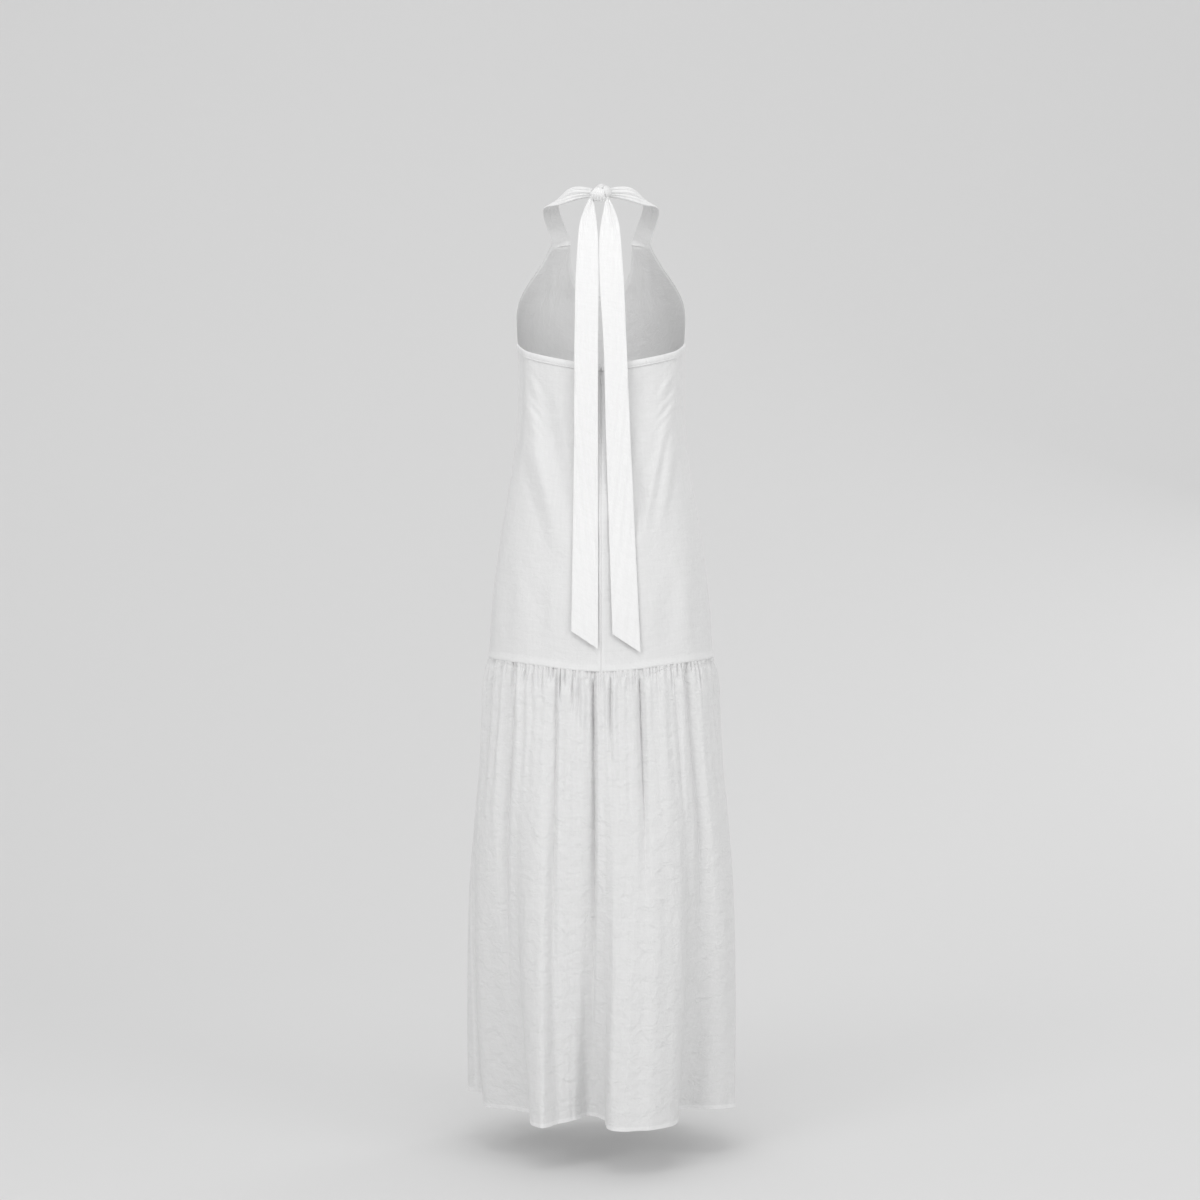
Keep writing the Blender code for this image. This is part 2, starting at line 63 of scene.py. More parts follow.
# Form of the dress, the same as its frame's
ROUNDNESS = 2.25
HEM = -1.438
SEAM_SIDE = -0.7290
SEAM_BACK_DROP = 0.0190
SEAM_FRONT_DROP = 0.0100
SIDE_CORNER = -0.2277
BACK_TOP = -0.2699
BACK_TOP_CURVE = 1.7
TIP_HEIGHT = -0.0550
TIP_ANGLE = 52
NECKLINE_SHARE = 0.7
NECKLINE_DIP = 0.0800
NECKLINE_CURVE = 2.2
ARMHOLE_CURVE = 0.85
NOTCH_HALF = 0.0020
NOTCH_DEPTH = 0.0060
SLIT_HALF = 0.0011
SLIT_LENGTH = 0.0190
FLOOR = -1.512
# Rough lengths over which the turned edges and doubled cloth are placed
BACK_LENGTH = 0.47
BACK_SPREAD = 0.24
FRONT_SPREAD = 0.20
TIER_LENGTH = 0.70

LEFT = 1
RIGHT = -1

Section = namedtuple("Section", "height half_width back front")
SECTIONS = (
    Section(-0.030, 0.138, 0.080, 0.062),
    Section(-0.055, 0.140, 0.086, 0.072),
    Section(-0.100, 0.142, 0.098, 0.094),
    Section(-0.150, 0.140, 0.101, 0.115),
    Section(-0.2277, 0.1335, 0.098, 0.129),
    Section(-0.2738, 0.1335, 0.098, 0.128),
    Section(-0.349, 0.1350, 0.100, 0.126),
    Section(-0.413, 0.1405, 0.103, 0.126),
    Section(-0.535, 0.1595, 0.111, 0.130),
    Section(-0.637, 0.1725, 0.117, 0.133),
    Section(-0.735, 0.1795, 0.120, 0.136),
    Section(-0.790, 0.1860, 0.127, 0.141),
    Section(-0.903, 0.1955, 0.142, 0.152),
    Section(-0.986, 0.2055, 0.153, 0.161),
    Section(-1.112, 0.2140, 0.167, 0.172),
    Section(-1.237, 0.2165, 0.180, 0.181),
    Section(-1.438, 0.2170, 0.192, 0.190),
)

# Soft folds of the bodice. Each runs from its top to its low end, across is x, and a ridge is positive.
Fold = namedtuple("Fold", "x_top z_top x_low z_low width relief")
BACK_FOLDS = (
    Fold(0.132, -0.310, 0.050, -0.610, 0.0125, 0.0092),
    Fold(0.122, -0.390, 0.074, -0.600, 0.0100, -0.0018),
    Fold(0.098, -0.270, 0.046, -0.545, 0.0105, -0.0070),
    Fold(0.126, -0.300, 0.092, -0.420, 0.0070, 0.0034),
    Fold(0.131, -0.270, 0.098, -0.390, 0.0070, 0.0026),
    Fold(0.118, -0.262, 0.084, -0.380, 0.0060, 0.0018),
    Fold(-0.120, -0.300, -0.055, -0.590, 0.0080, 0.0068),
    Fold(-0.124, -0.335, -0.086, -0.560, 0.0066, 0.0056),
    Fold(-0.112, -0.340, -0.068, -0.560, 0.0050, -0.0036),
    Fold(-0.066, -0.400, -0.051, -0.560, 0.0085, -0.0070),
    Fold(-0.060, -0.265, -0.066, -0.400, 0.0120, -0.0036),
    Fold(-0.130, -0.270, -0.098, -0.390, 0.0065, 0.0026),
    Fold(-0.112, -0.262, -0.084, -0.370, 0.0060, 0.0018),
    Fold(0.146, -0.560, 0.151, -0.750, 0.0090, -0.0030),
    Fold(0.124, -0.570, 0.125, -0.750, 0.0100, 0.0018),
    Fold(0.096, -0.590, 0.097, -0.750, 0.0110, -0.0020),
    Fold(0.070, -0.580, 0.070, -0.750, 0.0100, 0.0016),
    Fold(-0.152, -0.550, -0.159, -0.750, 0.0100, -0.0042),
    Fold(-0.130, -0.570, -0.134, -0.750, 0.0100, 0.0022),
    Fold(-0.104, -0.590, -0.107, -0.750, 0.0120, -0.0024),
    Fold(-0.078, -0.600, -0.080, -0.750, 0.0110, 0.0014),
    Fold(0.160, -0.480, 0.170, -0.640, 0.0110, -0.0028),
    Fold(-0.150, -0.450, -0.166, -0.620, 0.0120, -0.0030),
    Fold(0.000, -0.430, -0.001, -0.770, 0.0060, 0.0038),
)
FRONT_FOLDS = (
    Fold(0.128, -0.290, 0.058, -0.560, 0.0110, 0.0072),
    Fold(0.112, -0.300, 0.050, -0.500, 0.0095, -0.0046),
    Fold(0.122, -0.350, 0.092, -0.600, 0.0080, 0.0040),
    Fold(-0.126, -0.300, -0.066, -0.590, 0.0100, 0.0068),
    Fold(-0.124, -0.350, -0.098, -0.560, 0.0075, 0.0046),
    Fold(-0.104, -0.290, -0.056, -0.520, 0.0090, -0.0044),
    Fold(0.072, -0.420, 0.070, -0.760, 0.0160, 0.0046),
    Fold(-0.080, -0.400, -0.084, -0.760, 0.0150, 0.0050),
    Fold(0.000, -0.380, 0.004, -0.740, 0.0220, -0.0056),
    Fold(0.098, -0.250, 0.072, -0.380, 0.0080, 0.0014),
    Fold(-0.100, -0.250, -0.070, -0.390, 0.0080, 0.0014),
    Fold(0.060, -0.070, 0.052, -0.200, 0.0060, -0.0018),
    Fold(-0.060, -0.070, -0.052, -0.200, 0.0060, -0.0018),
    Fold(0.078, -0.065, 0.084, -0.185, 0.0055, 0.0014),
    Fold(-0.078, -0.065, -0.084, -0.185, 0.0055, 0.0014),
    Fold(0.130, -0.540, 0.140, -0.740, 0.0120, -0.0022),
    Fold(-0.128, -0.520, -0.136, -0.740, 0.0120, -0.0022),
    Fold(0.036, -0.560, 0.036, -0.740, 0.0100, 0.0014),
    Fold(-0.040, -0.590, -0.041, -0.740, 0.0110, 0.0012),
)
# Fine drag lines that fan down from the back's two top corners
DRAG_LINES = 11
DRAG_START = Vector((0.132, -0.232))
DRAG_STEP = 0.0115
DRAG_RUN = Vector((0.046, 0.062))
DRAG_WIDTH = 0.0032
DRAG_RELIEF = 0.0013
# Hollow under each arm, where the side turns away
HOLLOW_ANGLE = 79
HOLLOW_SPREAD = 15
HOLLOW_DEPTH = 0.0070

# Great flutes of the tier, once round from the middle of the back: the angle at the seam where the
# cloth of the flute is gathered in, and where the same cloth stands at the hem.
Flute = namedtuple("Flute", "seam_angle hem_x hem_y")
FLUTES = (
    Flute(5.8, 0.014, 0.129),
    Flute(16, 0.036, 0.145),
    Flute(30, 0.063, 0.162),
    Flute(36, 0.084, 0.188),
    Flute(40.5, 0.099, 0.181),
    Flute(44.5, 0.1085, 0.158),
    Flute(48, 0.1065, 0.132),
    Flute(52.5, 0.102, 0.103),
    Flute(58, 0.119, 0.093),
    Flute(65, 0.149, 0.073),
    Flute(71, 0.179, 0.053),
    Flute(75, 0.186, 0.018),
    Flute(79.5, 0.168, -0.020),
    Flute(84, 0.176, -0.056),
    Flute(89, 0.200, -0.062),
    Flute(96, 0.219, -0.082),
    Flute(103, 0.209, -0.112),
    Flute(111, 0.178, -0.112),
    Flute(120, 0.166, -0.140),
    Flute(129, 0.148, -0.176),
    Flute(139, 0.116, -0.188),
    Flute(148, 0.094, -0.160),
    Flute(156, 0.080, -0.138),
    Flute(164, 0.060, -0.154),
    Flute(172, 0.040, -0.186),
    Flute(181, 0.008, -0.196),
    Flute(189, -0.024, -0.184),
    Flute(197, -0.040, -0.156),
    Flute(205, -0.060, -0.146),
    Flute(213, -0.086, -0.172),
    Flute(222, -0.120, -0.184),
    Flute(231, -0.146, -0.158),
    Flute(239, -0.144, -0.126),
    Flute(247, -0.160, -0.104),
    Flute(256, -0.192, -0.096),
    Flute(264, -0.213, -0.064),
    Flute(270, -0.199, -0.030),
    Flute(276, -0.196, 0.002),
    Flute(283, -0.213, 0.042),
    Flute(290, -0.196, 0.069),
    Flute(296, -0.170, 0.078),
    Flute(301, -0.139, 0.076),
    Flute(305, -0.118, 0.084),
    Flute(308.5, -0.1145, 0.101),
    Flute(312, -0.1225, 0.118),
    Flute(316, -0.1195, 0.148),
    Flute(320.5, -0.1075, 0.174),
    Flute(326.5, -0.086, 0.193),
    Flute(335, -0.058, 0.204),
    Flute(344, -0.033, 0.211),
    Flute(350.5, -0.0165, 0.202),
    Flute(354.5, -0.0105, 0.184),
    Flute(358, -0.008, 0.165),
    Flute(361.5, -0.003, 0.146),
)
# How far the hem is lifted between the flutes
HemLift = namedtuple("HemLift", "seam_angle lift")
HEM_LIFTS = (
    HemLift(5.8, 0.0050),
    HemLift(16, 0.0040),
    HemLift(30, 0.0010),
    HemLift(40, 0.0000),
    HemLift(48, 0.0010),
    HemLift(58, 0.0030),
    HemLift(65, 0.0030),
    HemLift(75, 0.0010),
    HemLift(96, 0.0000),
    HemLift(122, 0.0020),
    HemLift(139, 0.0000),
    HemLift(156, 0.0040),
    HemLift(181, 0.0000),
    HemLift(201, 0.0040),
    HemLift(222, 0.0000),
    HemLift(243, 0.0030),
    HemLift(264, 0.0000),
    HemLift(276, 0.0010),
    HemLift(283, 0.0010),
    HemLift(296, 0.0040),
    HemLift(305, 0.0040),
    HemLift(312, 0.0005),
    HemLift(330, 0.0000),
    HemLift(350, 0.0000),
)
FLUTE_GROWTH_OUT = 1.9
FLUTE_GROWTH_ASIDE = 1.0
TIER_COLUMNS = 511
TIER_HALVES = (("back", -90), ("front", 90))

# Creases that run down from the gathered seam: an angle there, the length, the depth, the width of the
# flank on the left and on the right at the seam, how many times wider they are at the low end, and how
# far they bow to the left half-way down.
Crease = namedtuple("Crease", "angle length depth left right widening drift")
BACK_CREASES = (
    Crease(74.1, 0.470, 0.0175, 0.0105, 0.0105, 1.7, 0.005),
    Crease(68.0, 0.030, 0.0026, 0.0040, 0.0036, 1.6, 0),
    Crease(62.8, 0.060, 0.0034, 0.0045, 0.0036, 1.7, 0),
    Crease(57.5, 0.700, 0.0120, 0.0125, 0.0100, 1.7, 0.004),
    Crease(52.1, 0.080, 0.0040, 0.0050, 0.0036, 1.8, 0.002),
    Crease(48.5, 0.026, 0.0026, 0.0034, 0.0030, 1.6, 0),
    Crease(45.4, 0.085, 0.0042, 0.0050, 0.0036, 1.8, 0.002),
    Crease(41.1, 0.034, 0.0028, 0.0036, 0.0032, 1.6, 0),
    Crease(37.7, 0.045, 0.0032, 0.0040, 0.0034, 1.6, 0),
    Crease(31.1, 0.700, 0.0085, 0.0125, 0.0050, 1.6, -0.002),
    Crease(26.6, 0.034, 0.0030, 0.0038, 0.0032, 1.6, 0),
    Crease(22.5, 0.050, 0.0028, 0.0040, 0.0036, 1.8, 0),
    Crease(15.7, 0.105, 0.0046, 0.0050, 0.0036, 1.9, 0),
    Crease(11.5, 0.034, 0.0030, 0.0036, 0.0032, 1.6, 0),
    Crease(5.8, 0.660, 0.0150, 0.0130, 0.0066, 1.3, -0.003),
    Crease(0.0, 0.050, 0.0032, 0.0036, 0.0032, 1.6, 0),
    Crease(-7.2, 0.180, 0.0070, 0.0056, 0.0036, 1.8, 0.001),
    Crease(-12.9, 0.040, 0.0030, 0.0036, 0.0032, 1.6, 0),
    Crease(-19.2, 0.045, 0.0034, 0.0040, 0.0032, 1.7, 0),
    Crease(-27.2, 0.420, 0.0135, 0.0090, 0.0072, 1.7, -0.004),
    Crease(-31.8, 0.040, 0.0030, 0.0036, 0.0034, 1.6, 0),
    Crease(-38.0, 0.090, 0.0046, 0.0050, 0.0036, 1.8, -0.001),
    Crease(-43.3, 0.036, 0.0030, 0.0036, 0.0032, 1.6, 0),
    Crease(-48.4, 0.260, 0.0044, 0.0080, 0.0060, 1.8, -0.004),
    Crease(-56.5, 0.700, 0.0125, 0.0120, 0.0120, 2.2, -0.010),
    Crease(-62.5, 0.055, 0.0028, 0.0040, 0.0036, 1.8, 0),
    Crease(-68.6, 0.050, 0.0034, 0.0040, 0.0036, 1.7, 0),
    Crease(-76.8, 0.200, 0.0050, 0.0060, 0.0056, 2.0, -0.004),
    Crease(-89.0, 0.060, 0.0034, 0.0040, 0.0040, 1.8, 0),
)
FRONT_CREASES = (
    Crease(83.0, 0.300, 0.0056, 0.0070, 0.0056, 1.8, 0.002),
    Crease(92.5, 0.070, 0.0038, 0.0044, 0.0044, 1.8, 0),
    Crease(101.0, 0.140, 0.0046, 0.0056, 0.0040, 1.9, 0.001),
    Crease(111.0, 0.620, 0.0078, 0.0090, 0.0050, 1.8, 0.004),
    Crease(119.0, 0.060, 0.0034, 0.0040, 0.0040, 1.8, 0),
    Crease(128.0, 0.210, 0.0050, 0.0056, 0.0044, 1.9, 0.002),
    Crease(137.0, 0.080, 0.0038, 0.0044, 0.0040, 1.8, 0),
    Crease(146.0, 0.280, 0.0052, 0.0060, 0.0050, 1.9, 0.002),
    Crease(156.0, 0.760, 0.0098, 0.0095, 0.0050, 1.6, 0.003),
    Crease(164.0, 0.070, 0.0036, 0.0040, 0.0040, 1.8, 0),
    Crease(173.0, 0.180, 0.0048, 0.0056, 0.0044, 1.9, 0),
    Crease(182.0, 0.380, 0.0056, 0.0060, 0.0056, 1.9, -0.002),
    Crease(190.0, 0.065, 0.0036, 0.0040, 0.0040, 1.8, 0),
    Crease(198.0, 0.700, 0.0094, 0.0050, 0.0090, 1.7, -0.003),
    Crease(208.0, 0.095, 0.0042, 0.0046, 0.0040, 1.8, 0),
    Crease(219.0, 0.240, 0.0050, 0.0050, 0.0056, 1.9, -0.002),
    Crease(228.0, 0.075, 0.0036, 0.0040, 0.0040, 1.8, 0),
    Crease(239.0, 0.600, 0.0082, 0.0056, 0.0085, 1.8, -0.004),
    Crease(248.0, 0.130, 0.0042, 0.0046, 0.0044, 1.9, 0),
    Crease(258.0, 0.070, 0.0038, 0.0040, 0.0040, 1.8, 0),
    Crease(265.0, 0.300, 0.0054, 0.0056, 0.0056, 1.9, -0.002),
)

# Halter strap on the left, from the front's strap end to the knot
Station = namedtuple("Station", "step x y z width thickness face_x face_y face_z")
STRAP = (
    Station(-0.4, 0.0636, -0.0690, -0.0612, 0.029, 0.0020, 0.14, -0.95, 0.28),
    Station(0, 0.0650, -0.0660, -0.0535, 0.030, 0.0022, 0.18, -0.93, 0.30),
    Station(1, 0.0740, -0.0470, -0.0300, 0.028, 0.0026, 0.20, -0.62, 0.75),
    Station(2, 0.0800, -0.0180, -0.0130, 0.027, 0.0030, 0.30, -0.18, 0.93),
    Station(3, 0.0775, 0.0140, -0.0070, 0.026, 0.0046, 0.32, 0.25, 0.91),
    Station(4, 0.0620, 0.0420, -0.0030, 0.024, 0.0064, 0.42, 0.72, 0.55),
    Station(5, 0.0400, 0.0610, 0.0025, 0.022, 0.0082, 0.32, 0.93, 0.18),
    Station(6, 0.0125, 0.0755, 0.0010, 0.013, 0.0094, 0.18, 0.98, 0.05),
)
STRAP_RIGHT_SHIFT = 0.0050
STRAP_SHIFT_FROM = 0.8
# Lengthwise creases of a strap: where they lie across it, from -1 at its lower edge to 1 at its upper
# edge, at the front and at the knot, and their depth as a share of the strap's thickness.
StrapCrease = namedtuple("StrapCrease", "front knot depth width")
STRAP_CREASES = (
    StrapCrease(0.10, 0.18, 0.85, 0.26),
    StrapCrease(-0.42, -0.34, 0.60, 0.20),
    StrapCrease(0.54, 0.62, 0.55, 0.18),
    StrapCrease(-0.74, -0.66, 0.40, 0.14),
)

# Free ends of the ties
TieRow = namedtuple("TieRow", "height inner outer")
TIE_LEFT = (
    TieRow(-0.0100, 0.0108, 0.0190),
    TieRow(-0.0140, 0.0110, 0.0208),
    TieRow(-0.0240, 0.0098, 0.0255),
    TieRow(-0.0460, 0.0070, 0.0325),
    TieRow(-0.0750, 0.0047, 0.0360),
    TieRow(-0.1380, 0.0039, 0.0395),
    TieRow(-0.2474, 0.0047, 0.0413),
    TieRow(-0.3890, 0.0047, 0.0419),
    TieRow(-0.7130, 0.0046, 0.0466),
)
TIE_RIGHT = (
    TieRow(-0.0100, -0.0062, -0.0128),
    TieRow(-0.0140, -0.0055, -0.0150),
    TieRow(-0.0240, -0.0045, -0.0200),
    TieRow(-0.0460, -0.0004, -0.0270),
    TieRow(-0.0750, 0.0026, -0.0308),
    TieRow(-0.1380, 0.0020, -0.0351),
    TieRow(-0.2474, -0.0042, -0.0399),
    TieRow(-0.3890, -0.0078, -0.0459),
    TieRow(-0.7180, -0.0185, -0.0612),
)
TIE_LEFT_ENDS = (-0.7127, -0.6849)
TIE_RIGHT_ENDS = (-0.6896, -0.7182)
TIE_WALL = 0.0012
TIE_OFF_TOP = 0.0014
TIE_OFF_END = 0.0044
TIE_CUPPING = 0.0040
TIE_LIES_FROM = -0.1700
TIE_SETTLE = 0.0900
TIE_SOFTNESS = 0.0015
HangRow = namedtuple("HangRow", "height y")
TIE_HANG = (
    HangRow(-0.0100, 0.0835),
    HangRow(-0.0500, 0.0905),
    HangRow(-0.1000, 0.0985),
    HangRow(-0.1700, 0.1048),
    HangRow(-0.2600, 0.1080),
    HangRow(-0.3600, 0.1088),
    HangRow(-0.7300, 0.1088),
)
# Creases of a tie below the knot: where across it (0 inner, 1 outer) at the knot and at the low end
TieCrease = namedtuple("TieCrease", "top low length depth width")
TIE_LEFT_CREASES = (
    TieCrease(0.36, 0.42, 0.046, 0.0026, 0.0026),
    TieCrease(0.64, 0.60, 0.075, 0.0018, 0.0030),
    TieCrease(0.16, 0.14, 0.120, 0.0011, 0.0030),
    TieCrease(0.84, 0.88, 0.150, 0.0010, 0.0035),
)
TIE_RIGHT_CREASES = (
    TieCrease(0.66, 0.60, 0.095, 0.0034, 0.0036),
    TieCrease(0.36, 0.36, 0.060, 0.0018, 0.0028),
    TieCrease(0.14, 0.15, 0.130, 0.0012, 0.0030),
    TieCrease(0.86, 0.84, 0.110, 0.0012, 0.0026),
)

# Knot at the nape: its core and its rounded folds, each turned by degrees about a level axis from the
# back, and the fan-shaped wrap over them
Lump = namedtuple("Lump", "x y z width depth length turn pleats pleat_depth")
KNOT_LUMPS = (
    Lump(0.0027, 0.0800, 0.0000, 0.0128, 0.0090, 0.0100, 70, 9, 0.04),
    Lump(0.0010, 0.0845, 0.0078, 0.0048, 0.0066, 0.0072, -66, 6, 0.08),
    Lump(-0.0092, 0.0832, 0.0020, 0.0064, 0.0074, 0.0098, 38, 6, 0.08),
    Lump(-0.0074, 0.0856, -0.0006, 0.0042, 0.0056, 0.0080, 20, 6, 0.08),
    Lump(0.0125, 0.0800, -0.0022, 0.0046, 0.0058, 0.0066, 64, 6, 0.08),
    Lump(0.0135, 0.0820, -0.0085, 0.0046, 0.0060, 0.0085, -18, 6, 0.06),
    Lump(-0.0085, 0.0820, -0.0080, 0.0046, 0.0060, 0.0085, 14, 6, 0.06),
)
FAN_APEX = Vector((0.0015, 0.0850, 0.0092))
FAN_MIDDLE = Vector((0.0042, 0.0962, -0.0025))
FAN_FOOT = Vector((0.0048, 0.0890, -0.0142))
FAN_HALF_WIDTH = 0.0140
FAN_PLEATS = 6
FAN_PLEAT_DEPTH = 0.0011

# Turned edges and seams
EDGE_TURN = 0.0070
EDGE_STITCH = 0.0012
HEM_TURN = 0.0065
HEM_STITCH = 0.0016
LIP_WIDTH = 0.0110
LIP_OUT = 0.0006
ALLOWANCE_OUT = 0.00035
TUCK = 0.0050
SEAM_ALLOWANCE = 0.0120

# Zip
TAPE_EDGE = 0.0010
TAPE_WIDTH = 0.0120
TAPE_TOP = -0.2750
TAPE_BOTTOM = -0.6200
TAPE_DEPTH = 0.0021
COIL_PITCH = 0.0013
COIL_TURN = (0.0016, 0.0008, 0.00042)

# Round backdrop
BACKDROP_MIDDLE = 1.2
BACKDROP_FLOOR = 3.0
BACKDROP_CURVE = 3.0
BACKDROP_WALL = 2.6
CAMERA_X = 0.0016
# Soft boxes: where each stands, what it points at, and its width and height
SoftBox = namedtuple("SoftBox", "setting name place target size")
SOFT_BOXES = (
    SoftBox("left_box", "Left soft box", (1.95, 2.65, 0.60), (0, 0, -0.55), (1.5, 2.2)),
    SoftBox("right_box", "Right soft box", (-2.35, 2.3, 0.40), (0, 0, -0.55), (1.5, 2.2)),
    SoftBox("top_box", "Top soft box", (0, 2.2, 2.6), (0, 0, -0.20), (2.0, 1.0)),
    SoftBox("front_box", "Front soft box", (-2.5, -2.9, 0.8), (0, 0, -0.55), (1.2, 1.8)),
    SoftBox("backdrop_light", "Backdrop light", (0, -1.3, 2.2), (0, -4.5, -0.1), (1.8, 0.8)),
)


class ClothSettings(PropertyGroup):
    """Colour and feel of the cotton."""

    single: FloatVectorProperty(
        name="Single cloth",
        description="Colour of one layer of the white cotton",
        subtype="COLOR",
        default=(0.765, 0.765, 0.765),
        min=0,
        max=1,
    )
    double: FloatVectorProperty(
        name="Doubled cloth",
        description="Colour where the cotton is doubled, as on the ties, bands, hem and seams",
        subtype="COLOR",
        default=(0.870, 0.870, 0.870),
        min=0,
        max=1,
    )
    roughness: FloatProperty(
        name="Roughness",
        description="Roughness of the cotton",
        default=0.88,
        min=0,
        max=1,
    )
    thickness: FloatProperty(
        name="Thickness",
        description="Thickness of one panel",
        default=0.0006,
        subtype="DISTANCE",
        unit="LENGTH",
    )
    pitch: FloatProperty(
        name="Thread pitch",
        description="Distance between two threads of the plain weave",
        default=0.00045,
        subtype="DISTANCE",
        unit="LENGTH",
        precision=5,
    )
    slub: FloatProperty(
        name="Slub",
        description="How strongly thicker threads show",
        default=0.9,
        min=0,
        max=1,
        subtype="FACTOR",
    )


class TierSettings(PropertyGroup):
    """Gathers and folds of the tier."""

    gather_depth: FloatProperty(
        name="Gather depth",
        description="Depth of the deepest small gathers below the seam",
        default=0.0072,
        subtype="DISTANCE",
        unit="LENGTH",
    )
    gather_length: FloatProperty(
        name="Gather length",
        description="Length of the longest small gathers",
        default=0.0850,
        subtype="DISTANCE",
        unit="LENGTH",
    )
    puff: FloatProperty(
        name="Puff",
        description="How far the gathers stand out just below the seam",
        default=0.0036,
        subtype="DISTANCE",
        unit="LENGTH",
    )
    drape: FloatProperty(
        name="Drape",
        description="Height of the soft folds that fall from the gathers and fade out",
        default=0.0013,
        subtype="DISTANCE",
        unit="LENGTH",
    )
    ripple: FloatProperty(
        name="Ripple",
        description="Height of the faint upright ripples all over the tier",
        default=0.0013,
        subtype="DISTANCE",
        unit="LENGTH",
    )
    seed: IntProperty(
        name="Seed",
        description="Choice of the small gathers' places",
        default=11,
    )


class StitchSettings(PropertyGroup):
    """Topstitching."""

    length: FloatProperty(
        name="Stitch length",
        description="Length of one stitch",
        default=0.0023,
        subtype="DISTANCE",
        unit="LENGTH",
    )
    spacing: FloatProperty(
        name="Stitch spacing",
        description="Distance from one stitch to the next",
        default=0.0030,
        subtype="DISTANCE",
        unit="LENGTH",
    )
    thread: FloatProperty(
        name="Thread",
        description="Width of the thread",
        default=0.00042,
        subtype="DISTANCE",
        unit="LENGTH",
        precision=5,
    )
    colour: FloatVectorProperty(
        name="Thread colour",
        description="Colour of the sewing thread",
        subtype="COLOR",
        default=(0.88, 0.88, 0.88),
        min=0,
        max=1,
    )


class StageSettings(PropertyGroup):
    """Floor, light and camera."""

    paper: FloatVectorProperty(
        name="Paper",
        description="Colour of the floor and backdrop paper",
        subtype="COLOR",
        default=(0.51, 0.51, 0.51),
        min=0,
        max=1,
    )
    # Painted glow: the paper gives off light of its own, with no lamp behind it, which lifts the shadow on
    # the floor under the dress
    painted_glow: FloatProperty(
        name="Glow",
        description="Light that comes through the paper, which keeps the shadow on the floor soft",
        default=0.195,
        min=0,
    )
    left_box: FloatProperty(
        name="Left soft box",
        description="Strength of the tall soft box on the picture's left",
        default=32.5,
        unit="POWER",
    )
    right_box: FloatProperty(
        name="Right soft box",
        description="Strength of the tall soft box on the picture's right",
        default=24.0,
        unit="POWER",
    )
    top_box: FloatProperty(
        name="Top soft box",
        description="Strength of the soft box above the camera",
        default=25.0,
        unit="POWER",
    )
    front_box: FloatProperty(
        name="Front soft box",
        description="Strength of the soft box beside the front of the dress",
        default=18.0,
        unit="POWER",
    )
    ambient: FloatProperty(
        name="Ambient",
        description="Strength of the even light from all round",
        default=0.65,
        min=0,
    )
    backdrop_light: FloatProperty(
        name="Backdrop light",
        description="Strength of the soft light on the backdrop behind the dress",
        default=24.0,
        unit="POWER",
    )
    camera_distance: FloatProperty(
        name="Camera distance",
        description="Distance of the camera behind the dress",
        default=3.6,
        subtype="DISTANCE",
        unit="LENGTH",
    )
    camera_height: FloatProperty(
        name="Camera height",
        description="Height of the camera above the floor",
        default=0.875,
        subtype="DISTANCE",
        unit="LENGTH",
    )
    view_height: FloatProperty(
        name="View height",
        description="Height of the view at the dress",
        default=1.92,
        subtype="DISTANCE",
        unit="LENGTH",
    )


# ---- Tables and curves ----


def smooth(rows, at):
    """The columns after the first, at values of the first column, on smooth curves through the rows."""
    table = np.array(rows, float)
    if table[0, 0] > table[-1, 0]:
        table = table[::-1]
    keys = table[:, 0]
    last = len(keys) - 1
    at = np.clip(np.asarray(at, float), keys[0], keys[-1])
    high = np.clip(np.searchsorted(keys, at), 1, last)
    low = high - 1
    after = np.minimum(np.arange(last + 1) + 1, last)
    before = np.maximum(np.arange(last + 1) - 1, 0)
    slopes = (table[after] - table[before]) / (keys[after] - keys[before])[:, None]
    span = (keys[high] - keys[low])[..., None]
    t = (at - keys[low])[..., None] / span
    values = (
        (2 * t**3 - 3 * t**2 + 1) * table[low]
        + (t**3 - 2 * t**2 + t) * slopes[low] * span
        + (3 * t**2 - 2 * t**3) * table[high]
        + (t**3 - t**2) * slopes[high] * span
    )
    return [values[..., column] for column in range(1, table.shape[1])]


def round_once(rows, degrees):
    """Like smooth, for a table whose first column runs once round the dress in degrees."""
    rows = [tuple(row) for row in rows]
    before = [(row[0] - 360,) + row[1:] for row in rows[-2:]]
    after = [(row[0] + 360,) + row[1:] for row in rows[:2]]
    first = rows[0][0]
    return smooth(before + rows + after, (np.asarray(degrees) - first) % 360 + first)


def bell(x):
    """1 at 0, falling smoothly to 0 at -1 and 1."""
    return 0.5 + 0.5 * np.cos(math.pi * np.clip(x, -1, 1))


def rise(x):
    """0 below 0, rising smoothly to 1 at 1."""
    x = np.clip(x, 0, 1)
    return x * x * (3 - 2 * x)


def valley(x):
    """1 at 0 with a sharp bottom, 0 at -1 and 1."""
    return (1 - np.clip(np.abs(x), 0, 1)) ** 1.6


def crowded(count, share, start=0.0, end=1.0):
    """Values from start to end that lie closer together near both."""
    t = np.linspace(0, 1, count)
    t = (1 - share) * t + share * (0.5 - 0.5 * np.cos(math.pi * t))
    return start + (end - start) * t


def ripples(seed, count, across, down, waves):
    """Faint uneven upright ripples, about 1 high: waves is the lowest and highest whole number of them
    while across runs from 0 to 1, so that they meet after a whole turn."""
    random = np.random.default_rng(seed)
    total = np.zeros_like(across)
    for _ in range(count):
        number = random.integers(*waves, endpoint=True)
        phase, drift = random.uniform(0, 2 * math.pi, 2)
        sway = random.uniform(0.6, 2.4)
        total += np.sin(2 * math.pi * number * across + phase + sway * np.sin(3 * down + drift))
    return total / math.sqrt(count)


def groove(distance, depth, width):
    """The narrow dip along a seam or an edge."""
    return -depth * np.exp(-((distance / width) ** 2))


# ---- Form of the dress ----


